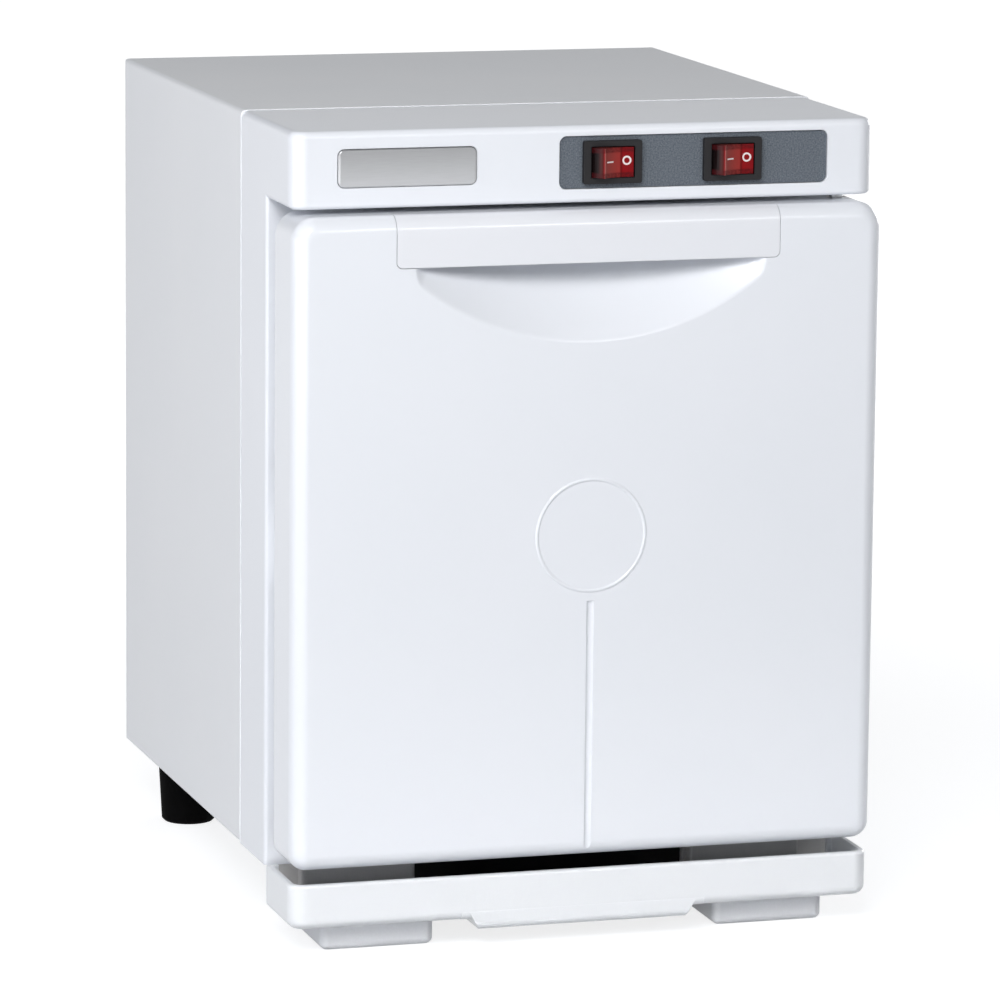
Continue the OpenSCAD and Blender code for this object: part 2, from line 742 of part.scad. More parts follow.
starter_side = 78;
starter_base_r = 14;
starter_base_h = 4;
starter_r = 10.5;
starter_h = 28;

// Glow starter in its socket
module lamp_starter() {
    color("#f0f0ec") translate([-casing_w / 2 + starter_side, ballast_y + ballast_w / 2,
        shelf_z + sheet_t]) {
        cylinder(h = starter_base_h, r = starter_base_r);
        translate([0, 0, starter_base_h]) cylinder(h = starter_h - starter_base_h, r = starter_r);
    }
}

block_side = 12;
block_pitch = 11;
block_poles = 4;
block_w = 18;
block_h = 15;
block_base_h = 8;

// Row of screw terminals where the wires meet
module terminal_block() {
    tower = block_pitch - 3;
    color("#e8e4d8") translate([-casing_w / 2 + block_side, ballast_y + (ballast_w - block_w) / 2,
        shelf_z + sheet_t]) difference() {
        union() {
            cube([block_poles * block_pitch, block_w, block_base_h]);
            for (i = [0 : block_poles - 1]) box([i * block_pitch, 3, block_base_h - eps],
                [i * block_pitch + tower, block_w - 3, block_h]);
        }
        for (i = [0 : block_poles - 1]) translate([i * block_pitch + tower / 2, 0, 0]) {
            translate([0, block_w / 2, block_base_h + 1]) cylinder(h = block_h, r = 2.4);
            translate([0, -1, block_base_h / 2]) rotate([-90, 0, 0]) cylinder(h = block_w + 2, r = 1.8);
        }
    }
}

rack_side_gap = 4;
rack_y0 = y_chamber + 4;
rack_y1 = y_chamber_back - 4;
rack_z = z_mouth + rack_h;

// Wire rack that keeps the towels off the chamber's floor
module towel_rack() {
    x = mouth_w / 2 - rack_side_gap - rack_wire / 2;
    y0 = rack_y0 + rack_wire / 2;
    y1 = rack_y1 - rack_wire / 2;
    r = rack_wire / 2;
    n = floor(2 * x / rack_pitch);
    step = 2 * x / n;
    color("#d3d6da") {
        for (s = [-1, 1]) translate([s * x, y0, rack_z]) rotate([-90, 0, 0]) cylinder(h = y1 - y0, r = r);
        for (y = [y0, y1]) translate([-x, y, rack_z]) rotate([0, 90, 0]) cylinder(h = 2 * x, r = r);
        for (s = [-1, 1]) for (y = [y0, y1]) translate([s * x, y, z_mouth + fit + 0.1]) {
            cylinder(h = rack_z - z_mouth - fit - 0.1, r = r);
            translate([0, 0, rack_z - z_mouth - fit - 0.1]) sphere(r);
        }
        for (i = [1 : n - 1]) translate([-x + i * step, y0, rack_z])
            rotate([-90, 0, 0]) cylinder(h = y1 - y0, r = r * 0.7);
    }
}

control_z = z_header + header_h / 2 + 0.5;
plate_floor = plate_sunk + plate_t;

// Printed plate under the two switches
module control_plate() {
    color("#69707a") difference() {
        along_y(y_face + plate_sunk, y_face + plate_floor) rounded(
            [plate_x - plate_w / 2, control_z - plate_h / 2],
            [plate_x + plate_w / 2, control_z + plate_h / 2], 2.4, 2.4, 2.4, 2.4);
        for (x = [switch_a_x, switch_b_x]) along_y(y_face, y_face + 12)
            translate([x, control_z]) square([switch_body_w + 2 * fit, switch_body_h + 2 * fit],
                center = true);
    }
}

badge_sunk = 1.2;
badge_t = 1.8;
badge_dome = 90;

// Domed metal badge, left bare
module name_badge() {
    y0 = y_face + badge_sunk - badge_t;
    color("#b4b6b9") intersection() {
        along_y(y0, y_face + badge_sunk) rounded([badge_x - badge_w / 2, control_z - badge_h / 2],
            [badge_x + badge_w / 2, control_z + badge_h / 2], 2.2, 2.2, 2.2, 2.2);
        translate([badge_x - badge_w / 2 - 1, y0 + badge_dome, control_z]) rotate([0, 90, 0])
            cylinder(h = badge_w + 2, r = badge_dome, $fn = 720);
    }
}

switch_body_w = 19;
switch_body_h = 12.8;
switch_body_d = 18;
switch_wall = 1;
window_w = 15.4;
window_h = 10.9;
y_flange = y_face + plate_sunk;
pivot_in = 3;
pivot_y = y_flange - switch_flange + pivot_in;
trunnion_r = 1.2;
rocker_h = window_h - 0.5;
rocker_gap = 0.15;
rocker_r = sqrt(pow(window_w / 2 - rocker_gap, 2) + pow(pivot_in, 2));
rocker_rise = 5.6;
rocker_dish = 1.3;
dish_half = sqrt(pow(rocker_r, 2) - pow(rocker_rise, 2));
dish_r = (pow(dish_half, 2) + pow(rocker_dish, 2)) / (2 * rocker_dish);

// Housing of a rocker switch: a flange in front and a hollow body behind
module switch_body(x) {
    color("#323234") translate([x, 0, control_z]) difference() {
        union() {
            along_y(y_flange - switch_flange, y_flange) rounded([-switch_w / 2, -switch_h / 2],
                [switch_w / 2, switch_h / 2], 0.7, 0.7, 0.7, 0.7);
            along_y(y_flange - eps, y_flange + switch_body_d)
                square([switch_body_w, switch_body_h], center = true);
        }
        along_y(y_flange - switch_flange - 1, y_flange + 4)
            square([window_w, window_h], center = true);
        // hollow that the rocker's round ends turn in
        translate([0, pivot_y, -window_h / 2]) cylinder(h = window_h, r = rocker_r + 2 * rocker_gap);
        along_y(y_flange + 3.9, y_flange + switch_body_d - 2)
            square([switch_body_w - 2 * switch_wall, switch_body_h - 2 * switch_wall], center = true);
        // bearings of the rocker
        translate([0, pivot_y, -window_h / 2 - 0.9]) cylinder(h = window_h + 1.8,
            r = trunnion_r + hinge_play);
    }
}

// Rocker with a dished face and round ends, at rest with its right end pressed in
module rocker(x) {
    color("#c0202a") translate([x, pivot_y, control_z]) rotate([0, 0, rocker_tilt]) {
        along_z(-rocker_h / 2, rocker_h / 2) difference() {
            intersection() {
                circle(rocker_r);
                translate([-rocker_r, -rocker_rise - 1]) square([2 * rocker_r, rocker_rise + 4]);
            }
            translate([0, rocker_dish - rocker_rise - dish_r]) circle(dish_r, $fn = 128);
        }
        translate([0, 0, -window_h / 2 - 0.7]) cylinder(h = window_h + 1.4, r = trunnion_r);
    }
}

// Tabs at the back of both switches
module switch_terminals() {
    y0 = y_flange + switch_body_d;
    color("#c8b36a") for (x = [switch_a_x, switch_b_x]) for (d = [-6, 0, 6])
        box([x + d - 2.4, y0, control_z - 0.4], [x + d + 2.4, y0 + 8, control_z + 0.4]);
}

// The door's outer moulding, with the finger scoop, ring, groove and hinge bosses

scoop_off = scoop_r - scoop_drop;
scoop_far = (pow(scoop_r, 2) - pow(scoop_off, 2) - pow(scoop_depth, 2)) / (2 * scoop_depth);
scoop_ball = sqrt(pow(scoop_r, 2) + pow(scoop_far, 2));
z_insert = z_door_top - insert_h;
scoop_z = z_insert + scoop_off;
z_pocket = z_insert + pocket_h;
pocket_in = 8;
insert_wrap = 13;
insert_r = 2;
boss_r = 4.6;
bush_r = 3.5;
bush_l = 8;

module door_form(inset, y1) {
    soft_board(door_w - 2 * inset, z_door + inset, z_door_top - inset, y_door + inset, y1,
        door_top_r - inset, door_low_r - inset, door_edge_r - inset);
}

module scoop_ball_at(grow) {
    translate([handle_x, y_door - scoop_far, scoop_z]) sphere(scoop_ball + grow, $fn = 128);
}

// Where the scoop lies below the handle insert, and the narrower pocket behind it
module scoop_reach(grow) {
    y1 = y_door_back - panel_t - 1;
    x = insert_w / 2 - pocket_in + grow;
    r = scoop_corner_r;
    corner_x = sqrt(pow(scoop_r - r, 2) - pow(scoop_off + r, 2));
    // outline of the scoop's rim, its two upper corners rounded
    along_y(y_door - 1, y1) translate([handle_x, 0]) {
        intersection() {
            translate([0, scoop_z]) circle(scoop_r + grow, $fn = 256);
            translate([-corner_x, z_insert - scoop_drop - grow])
                square([2 * corner_x, scoop_drop + grow]);
        }
        for (s = [-1, 1]) translate([s * corner_x, z_insert - r]) circle(r + grow);
    }
    box([handle_x - x, y_door - 1, z_insert - eps], [handle_x + x, y1, z_pocket + grow]);
}

// The part of the door's skin that the handle insert takes up
module insert_region(gap) {
    r = insert_r + gap;
    along_y(y_door - 1, y_door + insert_wrap + gap) rounded(
        [handle_x - insert_w / 2 - gap, z_insert - gap],
        [handle_x + insert_w / 2 + gap, z_door_top + 1], r, r, 0, 0);
}

module door_shell() {
    color("#f2f4f7") difference() {
        union() {
            difference() {
                door_form(0, y_door_back);
                door_form(door_wall, y_door_back + 1);
            }
            // seat behind the handle insert
            intersection() {
                difference() {
                    door_form(eps, y_door_back - 4);
                    door_form(insert_t + fit + door_wall, y_door_back);
                }
                insert_region(door_wall);
            }
            // wall of the finger scoop
            intersection() {
                scoop_ball_at(door_wall);
                scoop_reach(door_wall);
                door_form(1, y_door_back);
            }
            // raised ring
            translate([mark_x, y_door + ring_bead_r - ring_proud, z_door_top - ring_drop])
                rotate([90, 0, 0]) rotate_extrude() translate([ring_r, 0]) circle(ring_bead_r);
            // hinge bosses
            for (z = [z_door + 1, z_door_top - bush_l - 3]) translate([hinge_x, hinge_y, z])
                cylinder(h = bush_l + 2, r = boss_r);
        }
        // finger scoop and the pocket over it
        intersection() {
            scoop_ball_at(0);
            scoop_reach(0);
        }
        // room for the handle insert
        intersection() {
            insert_region(fit);
            difference() {
                door_form(-1, y_door_back);
                door_form(insert_t + fit, y_door_back);
            }
        }
        door_groove();
        // bores for the bushes
        translate([hinge_x, hinge_y, z_door - 1]) cylinder(h = bush_l + 1, r = bush_r);
        translate([hinge_x, hinge_y, z_door_top - bush_l]) cylinder(h = bush_l + 1, r = bush_r);
    }
}

groove_r = (pow(groove_w / 2, 2) + pow(groove_depth, 2)) / (2 * groove_depth);
ring_bead_r = (pow(ring_line / 2, 2) + pow(ring_proud, 2)) / (2 * ring_proud);

// Upright groove from under the ring nearly to the door's lower edge
module door_groove() {
    z1 = z_door_top - ring_drop - ring_r - groove_gap;
    translate([mark_x, y_door + groove_depth - groove_r, z_door - 1])
        cylinder(h = z1 - z_door + 1, r = groove_r);
}

// Separate strip over the scoop that the fingers pull
module handle_insert() {
    color("#eceef2") intersection() {
        insert_region(0);
        difference() {
            door_form(0, y_door_back);
            door_form(insert_t, y_door_back);
        }
    }
}

plug_side = 13.7;
plug_low = 7;
plug_top = 10;
plug_w = door_w - 2 * plug_side;
plug_z0 = z_door + plug_low;
plug_z1 = z_door_top - plug_top;
gasket_t = 3;
y_plug = y_stile - gasket_t - fit;
panel_t = 2;
post_w = 7;

// Inner face of the door: a plate with a raised hollow plug, and a post for the catch
module door_inner_panel() {
    w = door_w - 2 * (door_wall + fit);
    z0 = z_door + door_wall + fit;
    z1 = z_door_top - door_wall - fit;
    color("#eceff2") difference() {
        union() {
            along_y(y_door_back - panel_t, y_door_back) rounded([-w / 2, z0], [w / 2, z1],
                door_low_r - door_wall, door_low_r - door_wall,
                door_top_r - door_wall, door_top_r - door_wall);
            along_y(y_door_back - eps, y_plug)
                rounded([-plug_w / 2, plug_z0], [plug_w / 2, plug_z1], 6, 6, 6, 6);
            box([magnet_x - post_w / 2, y_door_back - eps, magnet_z - 14],
                [-plug_w / 2 + 1, y_stile - fit - 1.2, magnet_z + 14]);
        }
        along_y(y_door_back - panel_t - 1, y_plug - panel_t) rounded(
            [-plug_w / 2 + panel_t, plug_z0 + panel_t], [plug_w / 2 - panel_t, plug_z1 - panel_t],
            4, 4, 4, 4);
        for (z = [z_door, z_door_top - bush_l - 4]) translate([hinge_x, hinge_y, z])
            cylinder(h = bush_l + 4, r = boss_r + 0.4);
    }
}

// Foam slab in the hollow of the door, thicker below the finger scoop
module door_insulation() {
    x = plug_w / 2 - panel_t - 1;
    z0 = plug_z0 + panel_t + 1;
    color("#e6dfc8") {
        along_y(y_door_back - panel_t + fit, y_plug - panel_t - fit)
            rounded([-x, z0], [x, plug_z1 - panel_t - 1], 3, 3, 3, 3);
        along_y(y_door + door_wall + 1, y_door_back - panel_t + fit + eps)
            rounded([-x + 4, z0 + 4], [x - 4, z_insert - scoop_drop - door_wall - 2], 3, 3, 3, 3);
    }
}

// Silicone seal round the plug's rim
module door_gasket() {
    lip = 7;
    color("#d9dde0") difference() {
        along_y(y_plug, y_plug + gasket_t) rounded([-plug_w / 2 + 1, plug_z0 + 1],
            [plug_w / 2 - 1, plug_z1 - 1], 5, 5, 5, 5);
        along_y(y_plug - 1, y_plug + gasket_t + 1) rounded(
            [-plug_w / 2 + 1 + lip, plug_z0 + 1 + lip],
            [plug_w / 2 - 1 - lip, plug_z1 - 1 - lip], 2, 2, 2, 2);
    }
}

magnet_w = 5;
magnet_h = 24;
magnet_d = 6;
magnet_x = -(plug_w / 2 + 5);
magnet_z = z_mouth + mouth_h / 2;

// Steel plate on the door that the magnet holds
module strike_plate() {
    y1 = y_stile - fit;
    color("#9aa0a6") difference() {
        box([magnet_x - post_w / 2 + 0.5, y1 - 1.2, magnet_z - 13],
            [magnet_x + post_w / 2 - 0.5, y1, magnet_z + 13]);
        for (s = [-1, 1]) translate([magnet_x, y1 - 2, magnet_z + s * 9]) rotate([-90, 0, 0])
            cylinder(h = 4, r = 1);
    }
}

// Magnet that keeps the door shut
module catch_magnet() {
    color("#4a4a4c") box([magnet_x - magnet_w / 2, y_stile, magnet_z - magnet_h / 2],
        [magnet_x + magnet_w / 2, y_stile + magnet_d, magnet_z + magnet_h / 2]);
}

// Nylon bushes in the door, one above and one below
module door_bushes() {
    color("#f5f5f0") for (z = [z_door, z_door_top - bush_l]) translate([hinge_x, hinge_y, z])
        difference() {
            cylinder(h = bush_l, r = bush_r - 0.02);
            translate([0, 0, -1]) cylinder(h = bush_l + 2, r = hinge_pin_r + hinge_play);
        }
}

bracket_t = 1.5;
lower_bracket_z = z_door - 0.3 - bracket_t;
lower_bracket_holes = [hinge_x - 9, hinge_x + 4];
lower_screw_z = lower_bracket_z + 5.2;
upper_bracket_holes = [[hinge_x - 7, y_stile + 10], [hinge_x + 1, y_stile + 10]];

// Plate inside the header that carries the upper pin
module upper_hinge_bracket() {
    z0 = z_header + bezel_wall;
    color("#a9adb1") difference() {
        along_z(z0, z0 + bracket_t) rounded([hinge_x - 12, hinge_y - 5.4],
            [hinge_x + 6, y_stile + 16], 3, 3, 1, 1);
        translate([hinge_x, hinge_y, z0 - 1]) cylinder(h = 4, r = hinge_pin_r);
        for (p = upper_bracket_holes) translate([p[0], p[1], z0 - 1])
            cylinder(h = 4, r = screw_r + fit);
    }
}

// Angle on the stile that carries the lower pin under the door
module lower_hinge_bracket() {
    nose = 5;
    z0 = lower_bracket_z;
    color("#a9adb1") difference() {
        union() {
            along_z(z0, z0 + bracket_t) rounded([hinge_x - 12, hinge_y - nose],
                [hinge_x + 7, y_stile], nose, nose, 0, 0);
            box([hinge_x - 12, y_stile - bracket_t, z0], [hinge_x + 7, y_stile, z0 + 8]);
        }
        translate([hinge_x, hinge_y, z0 - 1]) cylinder(h = 4, r = hinge_pin_r);
        for (x = lower_bracket_holes) translate([x, y_stile - 4, lower_screw_z])
            rotate([-90, 0, 0]) cylinder(h = 6, r = screw_r + fit);
    }
}

// Screws that hold the two hinge brackets
module hinge_screws() {
    color("#c9ccd0") {
        for (x = lower_bracket_holes) translate([x, y_stile - bracket_t, lower_screw_z])
            rotate([-90, 0, 0]) screw(screw_l);
        for (p = upper_bracket_holes)
            translate([p[0], p[1], z_header + bezel_wall + bracket_t]) rotate([180, 0, 0]) screw(3.8);
    }
}

// Upper and lower pins that the door turns on
module hinge_pins() {
    z_up = z_header + bezel_wall;
    color("#c9ccd0") {
        translate([hinge_x, hinge_y, lower_bracket_z])
            cylinder(h = z_door + bush_l - 0.5 - lower_bracket_z, r = hinge_pin_r);
        translate([hinge_x, hinge_y, z_door_top - bush_l + 0.5])
            cylinder(h = z_up + bracket_t - z_door_top + bush_l - 0.5, r = hinge_pin_r);
        translate([hinge_x, hinge_y, z_up + bracket_t]) cylinder(h = 1.5, r = hinge_pin_r + 1.5);
    }
}

y_tray = y_door + tray_set;
z_tray = foot_h + 0.3;
y_tray_back = y_tray + tray_d;
tongue_side = 4;
tongue_rib_h = 3.4;

module tray_form(inset) {
    w = tray_w - 2 * inset;
    z0 = z_tray + inset;
    z1 = z_tray + tray_h + (inset > 0 ? 1 : 0);
    y0 = y_tray + inset;
    y1 = y_tray_back - inset;
    r = max(tray_low_r - inset, 0.4);
    intersection() {
        along_z(z0, z1) rounded([-w / 2, y0], [w / 2, y1], tray_corner_r - inset,
            tray_corner_r - inset, 1, 1);
        along_y(y0, y1) rounded([-w / 2, z0], [w / 2, z1], r, r, 0, 0);
        along_x(-w / 2, w / 2) rounded([y0, z0], [y1, z1], r, 0.4, 0, 0);
    }
}

module lip_outline(inset, top) {
    polygon([[-lip_w / 2 + inset, z_tray - lip_h + inset], [lip_w / 2 - inset, z_tray - lip_h + inset],
        [lip_w / 2 + lip_slant - inset, z_tray + top], [-lip_w / 2 - lip_slant + inset, z_tray + top]]);
}

// Pull-out tray that catches the drips, with its deeper middle and runner tongue
module drip_tray() {
    color("#eef0f3") difference() {
        union() {
            tray_form(0);
            // lip flush with the tray's front, and the round edge along its foot
            intersection() {
                along_y(y_tray, y_tray_back) lip_outline(0, tray_low_r + 1);
                along_x(-tray_w / 2, tray_w / 2) rounded([y_tray, z_tray - lip_h],
                    [y_tray_back, z_tray + tray_h], tray_low_r, 0.4, 0, 0);
            }
            along_y(y_tray_back - eps, y_tray_back + tongue_l) translate([0, z_tray - lip_h])
                translate([-(lip_w - tongue_side) / 2, 0]) square([lip_w - tongue_side, tray_wall]);
            for (s = [-1, 1]) box([s * (lip_w / 2 - tongue_side) - 1, y_tray_back - eps, z_tray - lip_h],
                [s * (lip_w / 2 - tongue_side) + 1, y_tray_back + tongue_l,
                    z_tray - lip_h + tongue_rib_h]);
        }
        tray_form(tray_wall);
        along_y(y_tray + tray_wall, y_tray_back - tray_wall) lip_outline(tray_wall, 4);
        // low rear wall
        box([-tray_w / 2 + tray_wall + 2, y_tray_back - tray_wall - 1, z_tray + tray_rear_h],
            [tray_w / 2 - tray_wall - 2, y_tray_back + 1, z_tray + tray_h + 1]);
    }
}

web_t = 2.5;
web_y = y_stile + 0.4;
web_in = foot_in - 1.5;
web_out = bezel_w / 2;
guide_y0 = web_y + web_t + fit;
guide_y1 = y_tray_back + tongue_l + 6;
guide_w = 2 * foot_in - 3;
guide_t = 1.2;
guide_gap = 0.4;
guide_screw_x = 30;
front_screw_x = foot_in + foot_w / 2;
front_screw_y = y_seam - 16;

// Folded channel under the sill that the tray's tongue runs in
module tray_guide() {
    slot_top = z_tray - lip_h + tongue_rib_h + guide_gap;
    slot_low = z_tray - lip_h - guide_gap;
    slot_w = lip_w - tongue_side + 2 * guide_gap;
    t = guide_t;
    color("#222224") difference() {
        box([-guide_w / 2, guide_y0, slot_low - t], [guide_w / 2, guide_y1, z_low]);
        box([-slot_w / 2, guide_y0 - 1, slot_low], [slot_w / 2, guide_y1 + 1, slot_top]);
        box([-guide_w / 2 + 2 * t, guide_y0 + 2 * t, slot_top + t],
            [guide_w / 2 - 2 * t, guide_y1 + 1, z_low - t]);
        both_sides() box([slot_w / 2 + t, guide_y0 - 1, slot_low - t - 1],
            [guide_w / 2 + 1, guide_y1 + 1, slot_top + t]);
        box([-slot_w / 2 + 8, guide_y0 - 1, slot_low - t - 1], [slot_w / 2 - 8, guide_y1 + 1, slot_low]);
        for (s = [-1, 1]) translate([s * guide_screw_x, front_screw_y, z_low - 4])
            cylinder(h = 6, r = screw_r + fit);
    }
}

foot_seat = 7;
foot_top_r = 1.6;

// Front foot: a low pad under the tray, a block under the sill and a web beside it
module front_foot() {
    x0 = foot_in;
    x1 = foot_in + foot_w;
    y0 = y_face + foot_front;
    y1 = y0 + foot_l;
    block_y = y_tray_back + 2;
    color("#e6e8ea") difference() {
        union() {
            intersection() {
                along_z(0, foot_h) rounded([x0, y0], [x1, y1], 3.5, 3.5, 2, 2);
                along_x(x0, x1) rounded([y0, 0], [y1, foot_h], foot_low_r, 0.5, 0, 1.6);
                along_y(y0, y1) rounded([x0, 0], [x1, foot_h], foot_low_r, foot_low_r,
                    foot_top_r, foot_top_r);
            }
            along_z(foot_h - foot_top_r, z_low) rounded([x0, block_y], [x1, y1], 1, 1, 2, 2);
            box([web_in, web_y, z_tray + 2], [web_out, web_y + web_t, z_low]);
        }
        translate([front_screw_x, front_screw_y, -1])
            cylinder(h = z_low - foot_seat + 1, r = screw_head_r + 1);
        translate([front_screw_x, front_screw_y, -1]) cylinder(h = z_low + 2, r = screw_r + fit);
    }
}

rear_foot_x = casing_w / 2 - rear_foot_side;
rear_foot_y = y_back - rear_foot_back;

// Tapered rubber foot, recessed for its screw
module rear_foot() {
    color("#161617") translate([rear_foot_x, rear_foot_y, 0]) difference() {
        union() {
            translate([0, 0, 1]) cylinder(h = z_low - 1, r1 = rear_foot_r - rear_foot_taper,
                r2 = rear_foot_r);
            cylinder(h = 1 + eps, r1 = rear_foot_r - rear_foot_taper - 1,
                r2 = rear_foot_r - rear_foot_taper);
        }
        translate([0, 0, -1]) cylinder(h = z_low - foot_seat + 1, r = screw_head_r + 1);
        translate([0, 0, -1]) cylinder(h = z_low + 2, r = screw_r + fit);
    }
}

// Screws that hold the four feet
module foot_screws() {
    color("#c9ccd0") both_sides() {
        translate([front_screw_x, front_screw_y, z_low - foot_seat])
            screw(foot_seat + bezel_wall - 0.5);
        translate([rear_foot_x, rear_foot_y, z_low - foot_seat]) screw(foot_seat + 3);
    }
}

// Screws round the back panel
module back_screws() {
    color("#c9ccd0") for (p = back_screw_spots) translate([p[0], y_back, p[1]])
        rotate([90, 0, 0]) screw(screw_l);
}

inlet_body_w = 27;
inlet_body_h = 19.8;
inlet_body_d = 18;
inlet_flange = 1.6;
socket_w = 24.4;
socket_h = 16.6;
socket_d = 16;

// Outline of the inlet: a rectangle with two corners cut off
module inlet_outline(hw, hh) {
    cut = 5;
    polygon([[-hw, -hh], [hw, -hh], [hw, hh - cut], [hw - cut, hh], [-hw + cut, hh], [-hw, hh - cut]]);
}

// Appliance inlet for a loose mains lead, snapped into the back panel
module power_inlet() {
    y_out = back_panel_y + inlet_flange;
    color("#1d1d1f") translate([inlet_x, 0, z_low + inlet_z]) difference() {
        union() {
            along_y(back_panel_y, y_out) rounded([-15.5, -12], [15.5, 12], 2, 2, 2, 2);
            along_y(y_out - inlet_body_d - inlet_flange, back_panel_y + eps)
                inlet_outline(inlet_body_w / 2, inlet_body_h / 2);
        }
        along_y(y_out - socket_d, y_out + 1) inlet_outline(socket_w / 2, socket_h / 2);
        for (p = inlet_pin_spots) box([p[0] - 1 - 0.02, y_out - inlet_body_d - 4, p[1] - 2 - 0.02],
            [p[0] + 1 + 0.02, y_out - socket_d + 1, p[1] + 2 + 0.02]);
    }
}

inlet_pin_spots = [[-7, -1.4], [7, -1.4], [0, 2.6]];

// Three flat contacts of the inlet
module inlet_pins() {
    y_out = back_panel_y + inlet_flange;
    color("#d8cfa0") translate([inlet_x, 0, z_low + inlet_z]) for (p = inlet_pin_spots)
        box([p[0] - 1, y_out - inlet_body_d - 6, p[1] - 2], [p[0] + 1, y_out - 3, p[1] + 2]);
}

outer_casing();
back_panel();
base_pan();
front_bezel();
inner_chamber();
chamber_insulation();
heater_mat();
component_shelf();
thermostat();
thermal_fuse();
uv_lamp();
uv_lamp_holders();
lamp_screws();
uv_lamp_guard();
uv_ballast();
lamp_starter();
terminal_block();
towel_rack();
control_plate();
name_badge();
switch_body(switch_b_x);  // power_switch_body
rocker(switch_b_x);  // power_rocker
switch_body(switch_a_x);  // uv_switch_body
rocker(switch_a_x);  // uv_rocker
switch_terminals();
door_shell();
handle_insert();
door_inner_panel();
door_insulation();
door_gasket();
strike_plate();
door_bushes();
upper_hinge_bracket();
lower_hinge_bracket();
hinge_screws();
hinge_pins();
catch_magnet();
drip_tray();
tray_guide();
mirror([1, 0, 0]) front_foot();  // front_foot_left
front_foot();  // front_foot_right
mirror([1, 0, 0]) rear_foot();  // rear_foot_left
rear_foot();  // rear_foot_right
foot_screws();
back_screws();
power_inlet();
inlet_pins();
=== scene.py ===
import json
import math

import bmesh
import bpy
from mathutils import Matrix, Vector


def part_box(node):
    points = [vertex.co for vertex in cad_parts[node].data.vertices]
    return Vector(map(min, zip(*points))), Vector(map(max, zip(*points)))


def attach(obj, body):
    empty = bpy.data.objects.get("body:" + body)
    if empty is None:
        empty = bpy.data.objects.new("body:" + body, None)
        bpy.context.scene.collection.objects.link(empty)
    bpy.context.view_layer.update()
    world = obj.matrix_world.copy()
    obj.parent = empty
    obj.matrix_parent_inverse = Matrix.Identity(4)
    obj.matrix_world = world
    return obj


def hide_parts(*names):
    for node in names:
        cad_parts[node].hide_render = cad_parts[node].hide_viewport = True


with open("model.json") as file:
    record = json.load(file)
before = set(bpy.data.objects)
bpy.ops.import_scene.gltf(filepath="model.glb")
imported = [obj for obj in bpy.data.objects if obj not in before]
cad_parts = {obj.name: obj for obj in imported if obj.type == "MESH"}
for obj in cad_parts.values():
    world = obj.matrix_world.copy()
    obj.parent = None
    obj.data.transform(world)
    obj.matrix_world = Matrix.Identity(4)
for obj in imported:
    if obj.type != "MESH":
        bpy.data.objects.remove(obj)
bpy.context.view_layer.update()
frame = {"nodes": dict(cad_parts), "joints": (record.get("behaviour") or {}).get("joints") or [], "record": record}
record = frame["record"]
joints = {joint["child"]: joint for joint in frame["joints"]}
MM = 0.001
front_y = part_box("front_bezel")[0].y


# One node, one colour, one material

def colour(hexes):
    """Linear colour of an sRGB hex value."""
    parts = [int(hexes[i:i + 2], 16) / 255 for i in (0, 2, 4)]
    return [p / 12.92 if p <= 0.04045 else ((p + 0.055) / 1.055) ** 2.4 for p in parts] + [1.0]


def add_node(tree, kind, values=None, links=None, **settings):
    """One node with its settings, its unlinked values and the sockets that feed it."""
    node = tree.nodes.new(kind)
    for name, value in settings.items():
        setattr(node, name, value)
    for name, value in (values or {}).items():
        node.inputs[name].default_value = value
    for name, source in (links or {}).items():
        tree.links.new(source, node.inputs[name])
    return node


def new_material(name):
    material = bpy.data.materials.new(name)
    material.use_nodes = True
    material.node_tree.nodes.clear()
    return material, material.node_tree


# Camera: the photograph's place and angle, measured from the header's front face

CAMERA_X = -622.6 * MM
CAMERA_AHEAD = 1958.2 * MM
CAMERA_Z = 523.6 * MM
CAMERA_YAW = math.radians(16.83)
CAMERA_PITCH = math.radians(10.12)
CAMERA_ROLL = math.radians(0.54)
CAMERA_LENS = 215.37


def make_camera():
    data = bpy.data.cameras.new("camera")
    data.sensor_width = 36
    data.lens = CAMERA_LENS
    data.clip_start, data.clip_end = 0.05, 50
    cam = bpy.data.objects.new("camera", data)
    bpy.context.scene.collection.objects.link(cam)
    ahead = Vector((math.sin(CAMERA_YAW) * math.cos(CAMERA_PITCH),
                    math.cos(CAMERA_YAW) * math.cos(CAMERA_PITCH), -math.sin(CAMERA_PITCH)))
    right = ahead.cross(Vector((0, 0, 1))).normalized()
    up = right.cross(ahead)
    turn = Matrix.Rotation(CAMERA_ROLL, 3, -ahead)
    right, up = turn @ right, turn @ up
    cam.matrix_world = Matrix.LocRotScale(
        Vector((CAMERA_X, front_y - CAMERA_AHEAD, CAMERA_Z)),
        Matrix((right, up, -ahead)).transposed().to_quaternion(), None)
    bpy.context.scene.camera = cam


# Studio: white floor and surround, a key high at the front left and softer lamps round it

SURROUND_LOW = 0.2
SURROUND_HIGH = 0.25
SURROUND_RISE = (0.15, 0.75)
MIRRORED_WHITE = (0.02, 0.26)
FLOOR_SIZE = 12.0
FLOOR_GLOW_REACH = (0.2, 1.1)
FLOOR_GLOW_NEAR = 0.78
FLOOR_GLOW_FAR = 0.95


